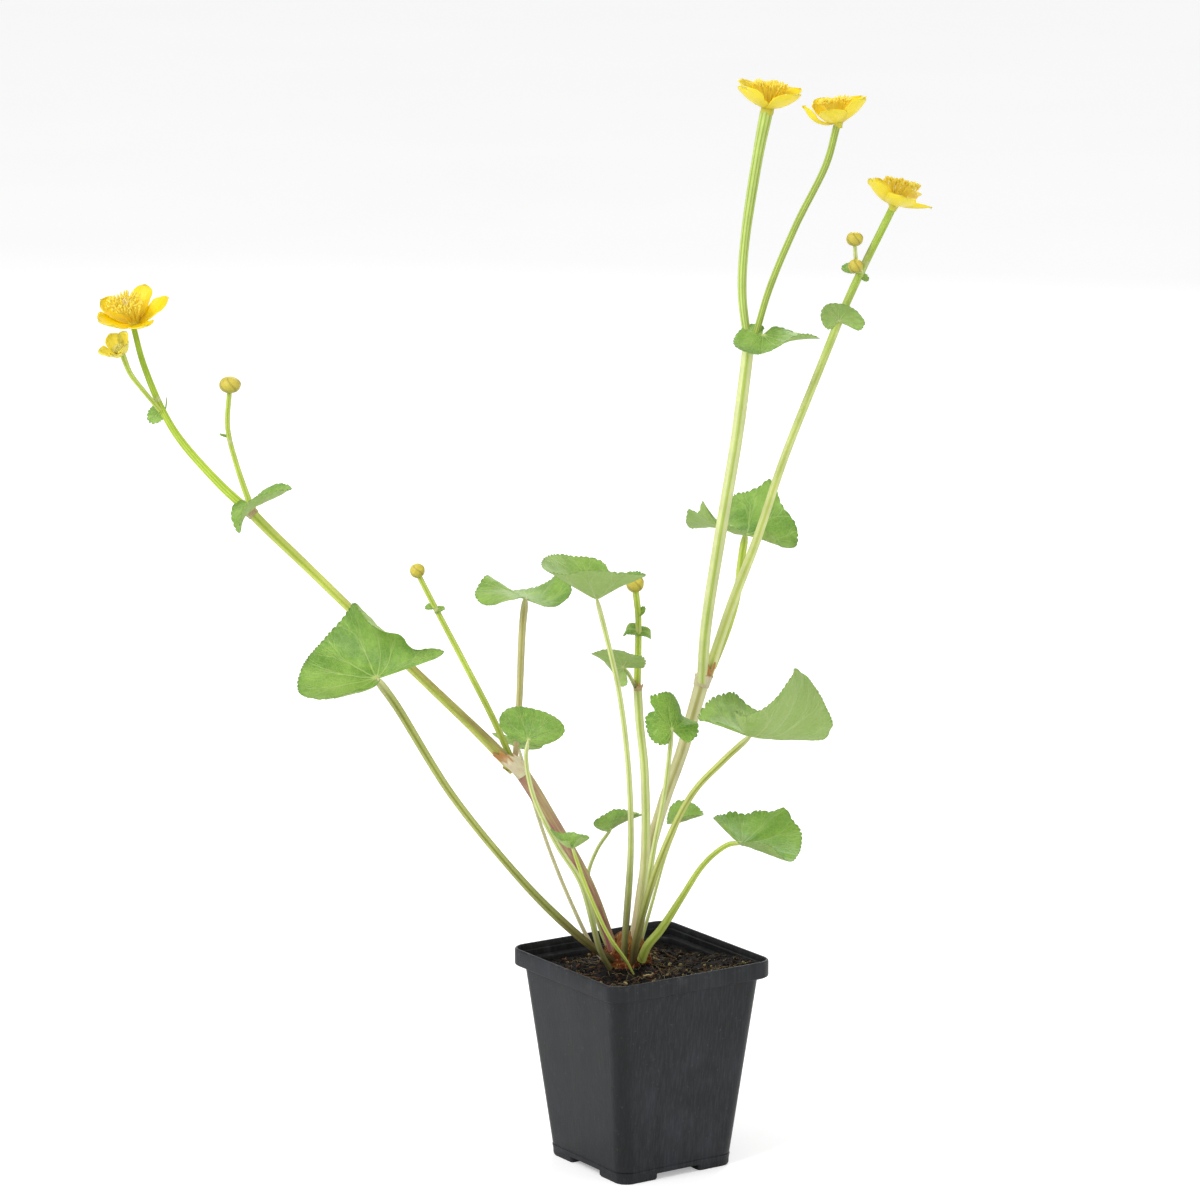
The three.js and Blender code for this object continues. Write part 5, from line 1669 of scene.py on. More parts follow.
@dataclass
class Flower:
    """Five petals round a brush of stamens.

    Fields:
        name: Start of its nodes' names.
        at, lean: Its seat and its tilt as an angle and a bearing in degrees.
        heart: Scale of its stamens.
        petals: Its petals.
        neck: Radius of the stalk that its seat sits on.
        sway: How far the stamens' tips lean aside, across and away.
    """

    name: str
    at: Point
    lean: Pair
    heart: float
    petals: tuple[Petal, ...]
    neck: float = 1.7
    sway: Pair = (0.0, 0.0)

    def brush(self) -> Patch:
        """Seat, carpels and stamens.

        The seat is a turned bowl. A stamen is a thin tube whose slope runs outwards with its place
        in the ring, with an egg-shaped anther on its end.
        """
        size = self.heart
        rng = np.random.default_rng(len(self.name) * 17 + int(abs(self.at[0])))
        neck = self.neck / size
        profile = np.array(
            [[0.0, -2.6], [neck, -2.6], [neck + 0.05, -1.8], [max(2.2, neck), -0.6], [2.8, 0.6], [2.2, 1.8],
             [1.2, 2.6], [0, 2.8]]
        )
        angle = circle(24)
        ring = stacked(np.cos(angle), np.sin(angle))
        radius = profile[:, :1, None] * size * (1 + 0.04 * np.cos(5 * angle))[None, :, None]
        level = np.repeat(profile[:, 1:, None] * size, 24, axis=1)
        bowl = np.concatenate([ring[None] * radius, level], axis=-1)
        tint = stacked(ease(-1.8, 2.0, bowl[..., 2]), 0, 0)
        patches = [grid_patch(bowl, tint, wrap=True, finish=Finish.STALK)]
        count = 150
        order = np.sqrt((np.arange(count) + 0.5) / count)
        bearing = np.arange(count) * GOLDEN_ANGLE + rng.normal(0, 0.15, count)
        foot = 1.0 + 1.4 * order
        tip = 1.4 + 6.4 * order**1.2 + rng.normal(0, 0.45, count)
        top = np.minimum(8.4 + 2.2 * np.sin(math.pi * order * 0.75) + rng.normal(0, 0.6, count), 11.4)
        along = np.linspace(0, 1, 5)
        reach = foot[:, None] + (tip - foot)[:, None] * along**1.5
        high = 1.4 + (top - 1.4)[:, None] * along
        centre = stacked(np.cos(bearing)[:, None] * reach, np.sin(bearing)[:, None] * reach, high)
        centre = centre + along[None, :, None] ** 1.5 * np.array([*self.sway, 0.0])
        around = circle(5)
        thin = 0.15 * np.array([1.2, 0.9, 0.8, 0.8, 0.7])
        thread = stacked(np.cos(around), np.sin(around), 0)
        body = centre[:, :, None] + thread[None, None] * thin[None, :, None, None]
        patches.append(self.threads(body, size))
        places = centre[:, -1] * size
        sizes = stacked(0.4, 0.34, 0.9 + 0.3 * rng.random(count)) * size
        out = np.arctan2(tip - foot, top - 1.4) * 1.3
        turns = self.leaning(bearing, out + rng.normal(0, 0.12, count))
        shade = stacked(1, 0.75 * rng.random(count), 0)
        patches.append(scattered(ball(6, 7), places, sizes, turns, shade))
        carpels = 9
        spin = np.arange(carpels) * 2 * math.pi / carpels + 0.3
        seat = stacked(1.15 * np.cos(spin), 1.15 * np.sin(spin), 4.0) * size
        fat = np.tile([0.62, 0.5, 2.7], (carpels, 1)) * size
        tints = np.tile([1.0, 0.85, 0.0], (carpels, 1))
        pods = scattered(ball(9, 8), seat, fat, self.leaning(spin, np.full(carpels, 0.16)), tints)
        pods.finish[:] = Finish.STALK.value
        patches.append(pods)
        whole = join(patches)
        whole.points = seated(whole.points, self.lean, self.at)
        return whole

    @staticmethod
    def threads(body: Array, size: float) -> Patch:
        """Filaments as one open grid for each, whose ends lie inside the seat and the anther.

        Args:
            body: Points as filaments by rows by sides by 3.
            size: Scale of the stamens.

        Returns:
            All filaments.
        """
        count, rows, sides = body.shape[:3]
        one = grid_patch(body[0], wrap=True)
        quads = one.quads[None] + np.arange(count)[:, None, None] * rows * sides
        ripe = np.tile(np.repeat(np.linspace(0.1, 0.8, rows), sides), count)
        finish = np.full(count * len(one.quads), Finish.MAIN.value)
        uv = np.tile(one.uv, (count, 1, 1))
        return Patch((body * size).reshape(-1, 3), quads.reshape(-1, 4), uv, stacked(ripe, 0, 0), finish)

    @staticmethod
    def leaning(bearing: Array, tilt: Array) -> Array:
        """Turns that lean +Z outwards by a tilt towards a bearing.

        Args:
            bearing, tilt: Angles in radians.

        Returns:
            A 3 by 3 turn for each.
        """
        cb, sb, ct, st = np.cos(bearing), np.sin(bearing), np.cos(tilt), np.sin(tilt)
        rows = [[cb * ct, -sb, cb * st], [sb * ct, cb, sb * st], [-st, 0 * cb, ct]]
        return np.array(rows).transpose(2, 0, 1)

    def build(self) -> None:
        """Makes the heart and the five petals, each as its own object."""
        name = f"{self.name}_heart"
        make_piece(name, self.brush(), dressed(BRUSH, SEAT), (name,))
        for number, petal in enumerate(self.petals, 1):
            patch = replace(petal, seed=number + len(self.name)).patch()
            patch.points = seated(patch.points, self.lean, self.at)
            name = f"{self.name}_petal_{number}"
            make_piece(name, patch, dressed(PETAL_SKIN), (name,))


FLOWERS = (
    Flower(
        "flower_left", (-229.7, -20, 399.8), (27, 260), 1.04,
        (
            Petal(152, 17.8, 12.5, 14, 30), Petal(212, 18.2, 14.4, 9, 38), Petal(296, 17.6, 12, 8, 40),
            Petal(10, 18.9, 11.5, 14, 38), Petal(70, 18.3, 10.8, 30, 6),
        ),
        1.6, (-2.6, 0.6),
    ),
    Flower(
        "flower_top", (57.1, 20, 492.9), (7, -3), 1.04,
        (
            Petal(-141, 18.2, 16.4, 9, 46), Petal(-42, 18.4, 16.8, 6, 47), Petal(26, 18.4, 16.4, 12, 46),
            Petal(91, 16.2, 16, 30, 26), Petal(153, 18.0, 17, 22, 36),
        ),
        3.0,
    ),
    Flower(
        "flower_top_right", (88.5, 2, 487.9), (8, 164), 0.98,
        (
            Petal(-104, 15.6, 13, 8, 42), Petal(-36, 18.2, 14.6, 16, 38), Petal(40, 18.6, 15.7, 27, 12),
            Petal(119, 16.9, 15.6, 20, 53), Petal(189, 18.8, 6.2, -12, 100, 1.1),
        ),
    ),
    Flower(
        "flower_right", (116, 32, 447.2), (16, 33), 1.04,
        (
            Petal(-80, 17, 14.6, -10, 46), Petal(-12, 16.6, 7.6, 2, 15, 1.1), Petal(60, 17.1, 15.4, 19, 31),
            Petal(132, 17.6, 12.4, 36, 6), Petal(206, 17.3, 16.6, 8, 50),
        ),
        1.7, (1.4, 0.0),
    ),
)


@dataclass
class HalfFlower:
    """The half open flower: five petals still cupped round the stamens, on a thin stalk."""

    at: Point = (-234.6, -30, 387.2)
    lean: Pair = (40, 238)
    path: tuple[Point, ...] = (
        (-218.6, -20.2, 359.8), (-225.8, -26.4, 370.2), (-231, -29, 378), (-234.2, -30, 386.8)
    )
    radii: tuple[float, ...] = (1.2, 1.1, 1.2, 1.4)
    petals: tuple[Petal, ...] = (
        Petal(180, 9.8, 7, 18, 40, 0.9, 1), Petal(252, 7.2, 8.4, 20, 56, 1.0, 2),
        Petal(324, 9, 8.6, 26, 56, 1.0, 3), Petal(36, 9.8, 9, 36, 40, 1.0, 4),
        Petal(108, 9.8, 9.2, 34, 42, 1.0, 5),
    )

    def build(self) -> bpy.types.Object:
        """Makes the flower's object."""
        patches = []
        for petal in self.petals:
            patch = petal.patch(0.5)
            patch.tint[:, 1] = np.maximum(patch.tint[:, 1], 0.12)
            patches.append(patch)
        count = 34
        bearing = np.arange(count) * GOLDEN_ANGLE
        far = 0.4 + 2.0 * np.sqrt((np.arange(count) + 0.5) / count)
        places = stacked(far * np.cos(bearing), far * np.sin(bearing), 3.4 - 0.12 * far**2)
        shade = stacked(0, 0.3, np.linspace(0, 0.3, count))
        turns = Flower.leaning(bearing, far * 0.12)
        eggs = scattered(ball(6, 7), places, np.tile([0.5, 0.45, 1.5], (count, 1)), turns, shade)
        eggs.finish[:] = Finish.BLADE.value
        patches.append(eggs)
        whole = join(patches)
        whole.points = seated(whole.points, self.lean, self.at)
        count = 20
        radii = spread_values(self.radii, count) * 0.96
        stalk = tube(smooth_path(self.path, count), radii, 16, finish=Finish.STALK)
        finishes = dressed(YOUNG_SKIN, LIME, YOUNG_BRUSH)
        return make_piece("flower_half_open", join([whole, stalk]), finishes, ("flower_half_open",))


@dataclass
class Bud:
    """A round bud of five overlapping petals.

    Fields:
        at: Its middle.
        half, high: Half its width and half its height.
        lean: Tilt about Y in degrees.
    """

    at: Point
    half: float
    high: float
    lean: float = 0.0

    def patch(self) -> Patch:
        """A ball whose radius steps up at each of five slanting petal edges and pinches at the top."""
        rows, columns = 28, 50
        fall = np.linspace(-math.pi / 2, math.pi / 2, rows)[:, None]
        turn = circle(columns)[None]
        saw = (5 * turn / (2 * math.pi) + 0.55 * np.sin(fall)) % 1.0
        step = ease(0.0, 0.1, saw) * (1 - 0.75 * saw)
        lump = 0.92 + 0.085 * step * np.cos(fall) ** 0.5
        flat = np.cos(fall) ** 0.82 * self.half * lump
        rise = np.sin(fall) * self.high * (0.97 - 0.06 * np.exp(-((fall - math.pi / 2) ** 2) * 30))
        points = stacked(flat * np.cos(turn), flat * np.sin(turn), rise)
        # Painted shade: a dark line along each slanting petal edge, where one petal laps over the next.
        crease = (1 - ease(0.0, 0.14, np.minimum(saw, 1 - saw * 0.98))) * ease(0.1, 0.5, np.cos(fall))
        green = ease(0.5, -1.3, fall)
        share = np.clip(0.7 - 0.6 * saw, 0, 1)
        tint = stacked(share, green * 0.8, crease * 0.55)
        patch = grid_patch(points, tint, wrap=True)
        patch.points = turned(patch.points, self.lean, "Y") + np.array(self.at)
        return patch


BUD_SKIN = BodySkin("bud", rgb(206, 190, 66), rgb(222, 204, 84), rgb(158, 154, 50), 700.0, 0.00012, 0.42)


def build_buds() -> None:
    """Makes the single buds and the pair on the right."""
    singles = {
        "bud_left_low": Bud((-103.5, 5, 281), 3.6, 3.4, -20),
        "bud_left_high": Bud((-188, -4, 369), 5.1, 3.9),
        "bud_center": Bud((-3, 10, 274), 4.3, 4.2, -10),
    }
    for name, bud in singles.items():
        make_piece(name, bud.patch(), dressed(BUD_SKIN), (name,), 35.0)
    count = 14
    path = smooth_path(((101.4, 31.8, 416.2), (98.9, 29.4, 421.8), (98, 28, 431)), count)
    stalk = tube(path, spread_values((1.1, 1, 0.9), count), count, finish=Finish.STALK)
    pair = join([Bud((98, 28, 432), 4, 3.4).patch(), Bud((98.5, 27, 419.5), 3.5, 3.4).patch(), stalk])
    finishes = dressed(BUD_SKIN, StalkSkin("bud stalk"))
    make_piece("bud_pair_right", pair, finishes, ("bud_pair_right",), 35.0)


# ------------------------------------------------------------------ pot, soil and crown


@dataclass
class Pot:
    """A square moulded nursery pot with a rim band and four corner feet."""

    height: float = 100.0
    rim_half: float = 45.0
    foot_half: float = 31.5
    wall: float = 1.2
    corner: float = 8.0
    rim_band: float = 8.0
    base_band: float = 5.5
    channel: float = 11.5
    soil_level: float = 91.0

    @property
    def body_top(self) -> float:
        """Height at which the rim band starts."""
        return self.height - self.rim_band

    def body_half(self, level: Array | float) -> Array | float:
        """Half width of the body, which grows evenly from foot to rim band."""
        low, high = self.foot_half + 0.4, self.rim_half - 3.6
        return low + (high - low) * (level - self.base_band) / (self.body_top - self.base_band)

    def inside_half(self, level: float) -> float:
        """Half width inside the body's wall."""
        return float(self.body_half(level)) - self.wall

    @staticmethod
    def ring(
        half: float, level: float, corner: float, steps: int = 12, straight: int = 4, inner: float = -1
    ) -> Array:
        """A rounded square: four arcs joined by straight sides, turned by the pot's own turn.

        Args:
            half, level, corner: Half width, height and corner radius.
            steps, straight: Points along an arc and inside a straight side.
            inner: Radius of the last three corners where it isn't the first one's.

        Returns:
            One row of x, y, z for each point.
        """
        arcs = []
        for side in range(4):
            radius = corner if side == 0 or inner < 0 else inner
            bearing = math.radians(45 + 90 * side)
            middle = (half - radius) * math.sqrt(2) * np.array([math.cos(bearing), math.sin(bearing)])
            angle = bearing + np.linspace(-math.pi / 4, math.pi / 4, steps + 1)
            arcs.append(middle + radius * stacked(np.cos(angle), np.sin(angle)))
        share = np.linspace(0, 1, straight + 2)[1:-1, None]
        parts = []
        for arc, after in zip(arcs, arcs[1:] + arcs[:1]):
            parts += [arc, arc[-1] + (after[0] - arc[-1]) * share]
        flat = np.vstack(parts)
        return turned(np.c_[flat, np.full(len(flat), level)], math.degrees(POT_TURN), "Z")

    def rings(self) -> list[tuple[float, float, float, Colour]]:
        """Half width, height, corner radius and tint of each ring, from the floor plate to the inside."""
        top, band, rim, wall = self.height, self.body_top, self.rim_half, self.wall
        foot, base = self.foot_half, self.base_band
        ledge = rim - 3.6 - wall
        plain = (0.0, 0.0, 0.0)
        body = [
            (self.body_half(level), level, 7.0 + level / band, plain)
            for level in np.linspace(base + 0.4, band - 0.7, 9)
        ]
        return [
            (foot + 0.1, 3.0, 6.4, plain), (foot + 0.55, base - 0.5, 7.0, plain),
            (foot + 0.55, base - 0.1, 7.0, (0.3, 0, 0)), (foot + 0.3, base + 0.1, 7.0, plain),
            *body,
            (rim - 0.6, band - 0.1, 8.0, plain), (rim - 0.15, band + 0.25, 8.0, (0.5, 0, 0)),
            (rim, band + 0.8, 8.0, plain), (rim, top - 1.0, 8.0, (0.3, 0, 0)),
            (rim - 0.2, top - 0.3, 7.8, (0.9, 0, 0)), (rim - 0.5, top, 7.6, (1.0, 0, 0)),
            (rim - wall + 0.2, top, 7.2, (0.8, 0, 0)), (rim - wall, top - 0.3, 7.0, (0.4, 0.4, 0)),
            (rim - wall - 0.1, band + 5.0, 7.0, (0.2, 0.6, 0)),
            (rim - wall - 0.7, band + 4.6, 7.0, (0.4, 0.5, 0)),
            (rim - wall - 0.8, band + 2.0, 7.0, (0.2, 0.8, 0)),
            (ledge + 0.1, band + 1.4, 6.8, (0.5, 0.6, 0)), (ledge - 0.1, band + 0.9, 6.8, (0.2, 0.8, 0)),
            (self.inside_half(self.soil_level), self.soil_level, 6.8, (0, 1, 0.3)),
            (self.inside_half(4.8), 4.6, 5.6, (0, 1, 0)),
        ]

    def feet(self) -> list[Patch]:
        """Four corner feet under the floor plate, each a low rounded block."""
        made = []
        size = (self.foot_half - self.channel) / 2
        middle = self.channel + size
        for side in range(4):
            rows = []
            for half, level in ((0.01, 0.0), (size - 0.5, 0.0), (size, 0.8), (size + 0.1, 3.2), (0.01, 3.2)):
                corner, inner = min(6.3, 0.63 * half), min(1.4, 0.14 * half)
                ring = self.ring(half, level, corner, inner=inner)
                rows.append(turned(ring, -math.degrees(POT_TURN), "Z"))
            grid = np.array(rows) + np.array([middle, middle, 0])
            grid = turned(grid, math.degrees(POT_TURN) + 90 * side, "Z")
            made.append(grid_patch(grid, (0.0, 0.0, 0.3), wrap=True))
        return made

    def build(self) -> bpy.types.Object:
        """Makes the pot's object."""
        rings = self.rings()
        grid = np.array([self.ring(half, level, corner) for half, level, corner, _ in rings])
        tint = np.array([[kind] * grid.shape[1] for *_, kind in rings], float)
        spot = np.arange(grid.shape[1]) % (grid.shape[1] // 4) / 12
        tint[..., 2] = ease(0.0, 0.35, spot) * ease(1.1, 0.75, spot)
        first = grid[:1] * np.array([0, 0, 1.0])
        last = grid[-1:] * np.array([0, 0, 1.0])
        grid = np.concatenate([first, grid, last])
        tint = np.concatenate([tint[:1], tint, tint[-1:]])
        patches = [grid_patch(grid, tint, wrap=True), *self.feet()]
        return make_piece("pot", join(patches), dressed(PotPlastic()), ("pot",), 32.0)


@dataclass
class Soil:
    """Compost that fills the pot, mounded under the crown, with crumbs and plant bits on it."""

    pot: Pot
    mound: float = 3.5
    crown: Pair = (-7.0, 5.0)
    gap: float = 0.3

    def height(self, x: Array, y: Array) -> Array:
        """Level, plus a bell round the crown, a gentle swell and a rise towards the right front.

        Args:
            x, y: Places in plan.

        Returns:
            Heights.
        """
        far = np.hypot(x - self.crown[0], y - self.crown[1])
        swell = 0.6 * np.sin(0.31 * x + 1) * np.cos(0.27 * y + 0.3)
        rise = 6.2 * ease(18, 50, x) + 1.6 * ease(0, 40, -y)
        return self.pot.soil_level + self.mound * np.exp(-((far / 19) ** 2)) + swell + rise

    def ground(self) -> Patch:
        """The filling, with noise of three sizes on its top.

        Its rings spread over the pot's ledge where they lie above it, and shrink to the middle.
        """
        edge = self.pot.inside_half(self.pot.soil_level) - self.gap
        foot = self.pot.ring(self.pot.inside_half(5.2) - self.gap - 0.3, 4.9, 5.4, 12, 12)
        collar = self.pot.ring(edge, 0.0, 6.6, 12, 12)
        collar[:, 2] = np.minimum(self.height(collar[:, 0], collar[:, 1]) - 0.7, 92.8)
        rows = [foot * np.array([0, 0, 1.0]), foot, collar]
        shares = np.concatenate([[1.0], np.linspace(0.985, 0.0, 58)])
        for share in shares:
            ring = self.pot.ring(edge * share + 1e-4, 0.0, 6.6 * share, 12, 12)
            ring *= 1 + 0.068 * ease(93.4, 94.4, self.height(ring[:, 0], ring[:, 1]))[:, None] * share**4
            bumps = 0.75 * cell_noise(ring, 4.5, 1) + 0.5 * cell_noise(ring, 1.9, 2)
            bumps = bumps + 0.3 * cell_noise(ring, 0.9, 3)
            ring[:, 2] = self.height(ring[:, 0], ring[:, 1]) + (bumps if share < 1 else -0.6)
            rows.append(ring)
        return grid_patch(np.array(rows), wrap=True)

    def spots(self, rng: np.random.Generator, count: int, inset: float) -> Array:
        """Random places on the top, at its height.

        Args:
            rng: Source of the numbers.
            count: How many at most.
            inset: How far inside the wall they start out.

        Returns:
            Places as rows of x, y, z.
        """
        half = self.pot.inside_half(self.pot.soil_level) - inset
        flat = rng.uniform(-half, half, (count * 2, 2))
        corner = np.maximum(np.abs(flat) - (half - 6.0), 0)
        flat = flat[np.hypot(corner[:, 0], corner[:, 1]) < 5.5][:count]
        flat = turned(np.c_[flat, np.zeros(len(flat))], math.degrees(POT_TURN), "Z")
        flat *= 1 + 0.06 * ease(93.4, 94.4, self.height(flat[:, 0], flat[:, 1]))[:, None]
        flat[:, 2] = self.height(flat[:, 0], flat[:, 1])
        return flat

    def crumbs(self) -> Patch:
        """Lumps of compost: small balls squashed three ways and turned at random."""
        rng = np.random.default_rng(5)
        places = self.spots(rng, 2600, 1.6)
        count = len(places)
        grown = 0.25 + 0.75 * rng.random(count) ** 2.2
        sizes = grown[:, None] * rng.uniform(0.6, 1.15, (count, 3)) * 1.15
        places[:, 2] += 0.25 * grown
        kinds = rng.random(count)
        wood = np.where(kinds > 0.8, rng.uniform(0.3, 1, count), 0) * 0.7
        straw = np.where(kinds > 0.965, 0.45, 0)
        tints = stacked(wood, straw, 0)
        return scattered(ball(5, 6), places, sizes, random_turns(rng, count), tints)

    def threads(
        self, count: int, length: Pair, thick: Pair, tint: Colour, seed: int, lift: float = 0.6
    ) -> list[Patch]:
        """Root fibres and straws: thin tubes that wander over the compost.

        Args:
            count: How many.
            length, thick: Their least and greatest length and thickness.
            tint: Their tint.
            seed: Picks their places.
            lift: How high they lie above the compost.

        Returns:
            One patch for each.
        """
        rng = np.random.default_rng(seed)
        places = self.spots(rng, count, 4.0)
        half = self.pot.inside_half(self.pot.soil_level) - 1.0
        made = []
        for start in places:
            reach = rng.uniform(*length)
            heading = rng.uniform(0, 2 * math.pi)
            bends = heading + np.cumsum(rng.normal(0, 0.22, 12))
            steps = stacked(np.cos(bends), np.sin(bends), 0) * reach / 12
            path = start + np.vstack([[0, 0, 0], np.cumsum(steps, axis=0)])
            flat = turned(path, -math.degrees(POT_TURN), "Z")
            flat[:, :2] = np.clip(flat[:, :2], -half + 2, half - 2)
            path = turned(flat, math.degrees(POT_TURN), "Z")
            path = path + rng.normal(0, 1e-3, path.shape)
            arch = lift * np.abs(np.sin(np.linspace(0, 5, 13) + heading))
            path[:, 2] = self.height(path[:, 0], path[:, 1]) + 0.4 + arch
            radius = rng.uniform(*thick)
            made.append(tube(path, np.full(13, radius), 5, tint))
        return made

    def build(self) -> bpy.types.Object:
        """Makes the compost's object."""
        patches = [self.ground(), self.crumbs()]
        patches += self.threads(70, (4, 13), (0.05, 0.11), (0.5, 0.25, 0.0), 21, 1.1)
        patches += self.threads(20, (4, 12), (0.06, 0.12), (0.2, 0.6, 0.1), 24, 0.9)
        patches += self.threads(30, (3, 8), (0.25, 0.5), (0.8, 0.1, 0.0), 22, 0.3)
        patches += self.threads(7, (3, 7), (0.3, 0.55), (0.0, 0.85, 0.1), 23, 0.5)
        patches += self.threads(60, (2, 7), (0.05, 0.1), (0.3, 0.5, 0.1), 26, 0.8)
        return make_piece("soil", join(patches), dressed(SoilFinish()), ("soil",), 60.0)


CROWN_SKIN = PaperSkin(
    "crown sheaths", rgb(204, 148, 82), rgb(118, 52, 18), rgb(58, 28, 12), rgb(222, 190, 132)
)


@dataclass
class Crown:
    """The rootstock top: a lumpy core wrapped in old leaf sheaths and hairy fibres."""

    centre: Pair = (-7.0, 5.0)

    @staticmethod
    def lump(angle: Array, level: Array) -> Array:
        """Scale of the radius: three waves that turn with height, and five."""
        return 1 + 0.1 * np.sin(3 * angle + 0.04 * (level - 85)) + 0.05 * np.cos(5 * angle)

    def placed(self, reach: Array, angle: Array, level: Array) -> Array:
        """Points at a reach and an angle from the middle, a tenth flatter from front to back."""
        x, y = self.centre
        return stacked(x + reach * np.cos(angle), y + 0.9 * reach * np.sin(angle), level)

    def core(self) -> Patch:
        """A turned lump whose radius carries three and five waves round it, with noise."""
        rows = 40
        radius = spread_values((0, 7, 10.6, 11.0, 9.6, 6.6, 3.6, 0), rows)[:, None]
        level = spread_values((85, 85, 91, 96, 101, 105.5, 108.6, 109.4), rows)[:, None]
        angle = circle(90)[None]
        spot = stacked(6 * np.cos(angle), 6 * np.sin(angle), 0.12 * level)
        rough = 1 + 0.06 * cell_noise(spot, 0.7, 4) - 0.02
        reach = radius * self.lump(angle, level) * rough * 0.94
        dark = 0.5 + 0.4 * cell_noise(spot, 1.3, 6)
        tint = stacked(np.clip(dark, 0, 1), ease(96, 88, level) * 0.5, 0)
        return grid_patch(self.placed(reach, angle, level), tint, wrap=True)

    def scale(self, bearing: float, foot: float, top: float, wide: float, dark: float, seed: int) -> Patch:
        """One old sheath: a sheet that wraps the core, narrows to a torn tip and leans in with it.

        Args:
            bearing: Its direction in degrees.
            foot, top: Heights of its foot and its tip.
            wide: Its spread round the core in degrees.
            dark: Darkness from 0 to 1.
            seed: Picks its tears.

        Returns:
            A thin closed slab.
        """
        share = np.linspace(0, 1, 22)[:, None]
        across = np.linspace(-1, 1, 26)[None]
        taper = np.sqrt(np.maximum(1 - share**2.6, 0.02))
        angle = math.radians(bearing) + math.radians(wide) / 2 * across * taper
        level = foot + (top - foot) * share
        inner = np.interp(level, [85, 91, 96, 101, 105.5, 108.6, 112], [7.5, 10.3, 10.7, 9.4, 6.4, 4.0, 3.0])
        spot = stacked(across * 2, share * 3, seed * 3.3)
        reach = inner * self.lump(angle, level) * 0.98 + 0.35 * cell_noise(spot, 0.7, seed) + 0.25 * share
        reach = reach + 0.24 * np.sin(3.1 * level + 4 * cell_noise(spot, 0.8, seed + 5))
        level = level - 2.2 * np.abs(cell_noise(spot * np.array([2.5, 0, 1]), 0.6, seed + 1)) * share**3
        tone = np.clip(dark + 0.3 * cell_noise(spot, 0.5, seed + 2), 0, 1)
        torn = ease(0.9, 1.0, np.maximum(share, np.abs(across)))
        points = self.placed(reach, angle, level)
        return shell(points, 0.4, stacked(tone, torn * 0.7, 0), stacked(tone, torn, 0), Finish.MAIN)

    def hairs(self) -> list[Patch]:
        """Dark root fibres that curl off the crown and lie on the compost."""
        rng = np.random.default_rng(9)
        made = []
        for _ in range(150):
            bearing = rng.uniform(0, 2 * math.pi)
            level = rng.uniform(92, 103)
            inner = float(np.interp(level, [85, 91, 96, 101, 105], [7.5, 10.3, 10.7, 9.4, 6.4]))
            start = np.array([math.cos(bearing) * inner, 0.9 * math.sin(bearing) * inner, level])
            out = np.array([math.cos(bearing), math.sin(bearing), rng.uniform(-0.2, 0.9)])
            drift = rng.normal(0, 0.5, 3)
            t = np.linspace(0, 1, 9)[:, None]
            length = rng.uniform(2.0, 7.0)
            path = start + (out * 0.35 * t + drift * t**1.6) * length
            path[:, 2] = np.maximum(path[:, 2] - 1.2 * t[:, 0] ** 2 * length * 0.3, 92.5)
            path[:, :2] += np.array(self.centre)
            tone = rng.uniform(0.5, 1.0)
            made.append(tube(path, np.linspace(0.13, 0.05, 9), 4, (tone, 0.4 * rng.random(), 0.0)))
        return made

    def build(self) -> bpy.types.Object:
        """Makes the crown's object."""
        patches = [self.core()]
        table = (
            (-95, 91, 107, 95, 0.6, 1), (-35, 90, 104, 80, 0.9, 2), (20, 90, 106, 85, 0.7, 3),
            (80, 90, 107, 90, 0.8, 4), (140, 90, 105, 85, 0.6, 5), (-150, 90.5, 108, 80, 0.75, 6),
            (-75, 96, 111, 50, 0.1, 7), (-120, 91, 103, 60, 1.0, 8), (-10, 91, 109, 50, 0.5, 9),
            (175, 91, 103, 70, 0.9, 10), (-80, 89.5, 98, 70, 1.0, 11), (5, 94, 113, 42, 0, 12),
        )
        patches += [self.scale(*row) for row in table]
        patches += self.hairs()
        return make_piece("crown", join(patches), dressed(CROWN_SKIN), ("crown",), 60.0)


# ------------------------------------------------------------------ stage


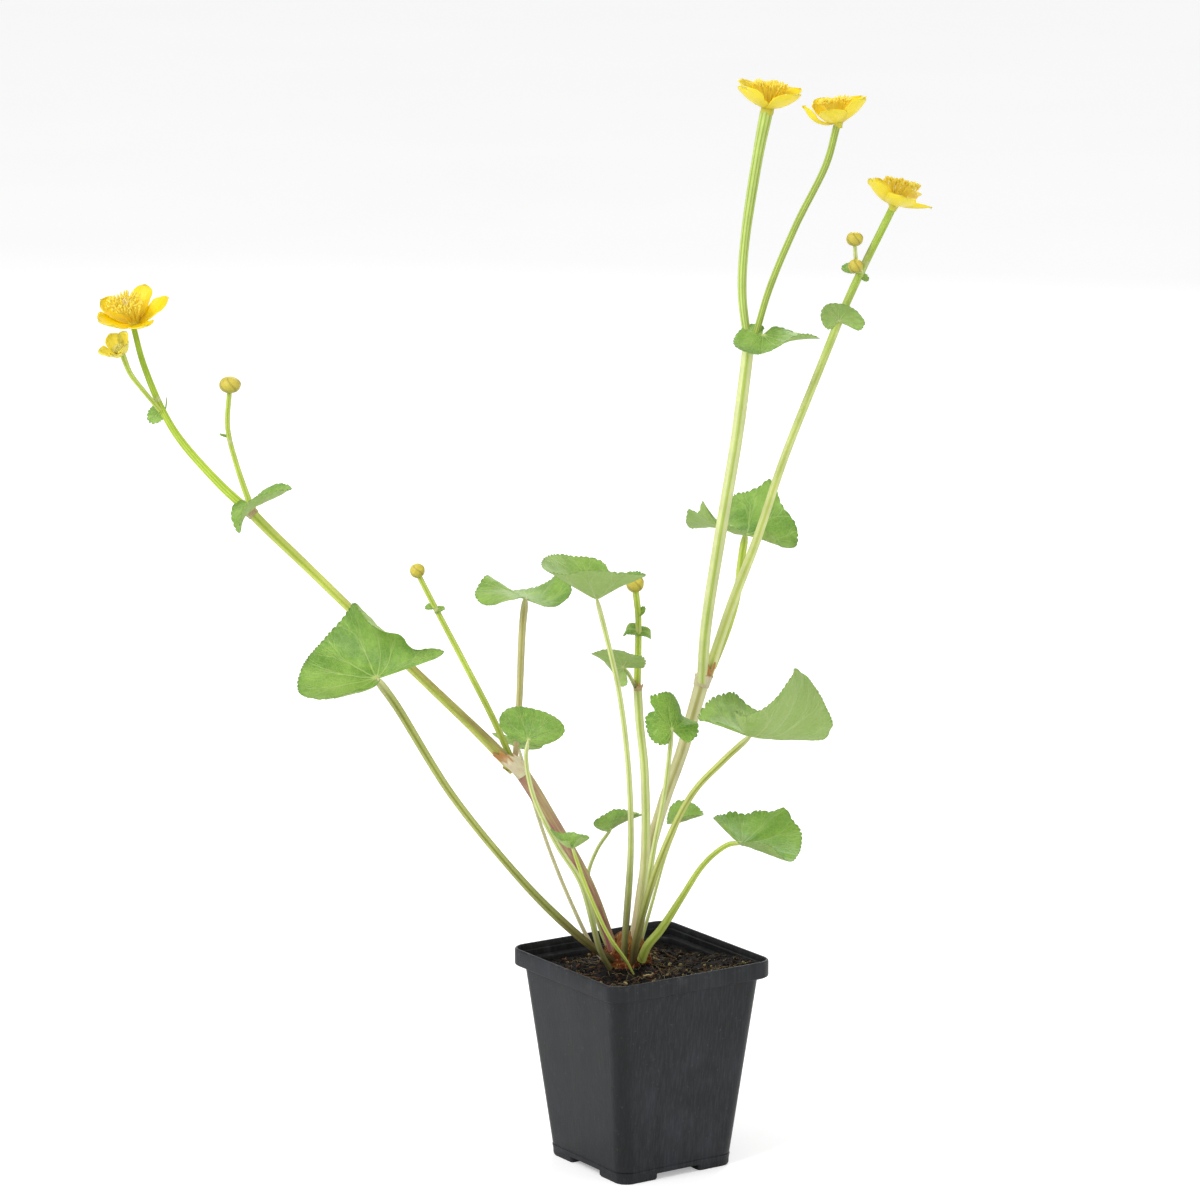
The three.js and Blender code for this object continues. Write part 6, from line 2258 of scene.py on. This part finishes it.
@dataclass
class Stage:
    """Floor, lights and camera."""

    camera: Point = (-0.0192, -2.2, 0.699)
    pitch: float = 78.92
    lens: float = 145.9
    floor: Colour = (0.86, 0.86, 0.86)

    def light(self, name: str, place: Point, size: float, power: float, target: Point) -> None:
        """Adds a square area light that faces a target.

        Args:
            name: Its name.
            place: Where it hangs.
            size: Its side in metres.
            power: In watts.
            target: What it faces.
        """
        data = bpy.data.lights.new(name, "AREA")
        data.shape = "SQUARE"
        data.size = size
        data.energy = power
        lamp = bpy.data.objects.new(name, data)
        lamp.location = place
        lamp.rotation_euler = (Vector(target) - Vector(place)).to_track_quat("-Z", "Y").to_euler()
        bpy.context.scene.collection.objects.link(lamp)

    def build(self) -> None:
        """Adds them to the scene."""
        bpy.ops.mesh.primitive_plane_add(size=30.0, location=(0, 0, 0))
        floor = bpy.context.object
        floor.name = "floor"
        material, board, shader = new_material("floor paint")
        seen = board.node("LightPath").outputs["Is Camera Ray"]
        board.feed(shader.inputs, {
            "Base Color": board.mix(board.noise(board.place(), 2.0, 2.0), self.floor, (0.9, 0.9, 0.9)),
            "Roughness": 0.9,
            "Emission Strength": board.times(seen, 0.34), "Emission Color": (1.0, 1.0, 1.0),
        })
        floor.data.materials.append(material)
        middle = (0.0, 0.0, 0.28)
        self.light("key light", (-1.7, -1.6, 2.2), 1.2, 50.0, middle)
        self.light("fill light", (2.0, -1.6, 0.9), 1.8, 8.0, middle)
        self.light("back light", (0.5, 2.2, 1.7), 1.4, 24.0, middle)
        world = bpy.data.worlds.new("studio")
        world.use_nodes = True
        world.node_tree.nodes["Background"].inputs[0].default_value = (1.0, 1.0, 1.0, 1.0)
        world.node_tree.nodes["Background"].inputs[1].default_value = 0.66
        bpy.context.scene.world = world
        bpy.context.scene.view_settings.view_transform = "Standard"
        data = bpy.data.cameras.new("camera")
        data.lens = self.lens
        data.sensor_width = 36.0
        data.clip_end = 100.0
        camera = bpy.data.objects.new("camera", data)
        camera.location = self.camera
        camera.rotation_euler = (math.radians(self.pitch), 0.0, 0.0)
        bpy.context.scene.collection.objects.link(camera)
        bpy.context.scene.camera = camera


# ------------------------------------------------------------------ assembly


def main() -> None:
    """Builds every piece in order."""
    logging.basicConfig(level=logging.INFO, format="%(name)s %(message)s")
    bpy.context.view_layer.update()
    pot = Pot()
    pot.build()
    Soil(pot).build()
    Crown().build()
    for stem in STEMS:
        stem.build()
    for number, leaf in enumerate(LEAVES):
        replace(leaf, seed=number + 3).build()
    for flower in FLOWERS:
        flower.build()
    HalfFlower().build()
    build_buds()
    Stage().build()
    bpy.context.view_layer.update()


if __name__ == "__main__":
    main()
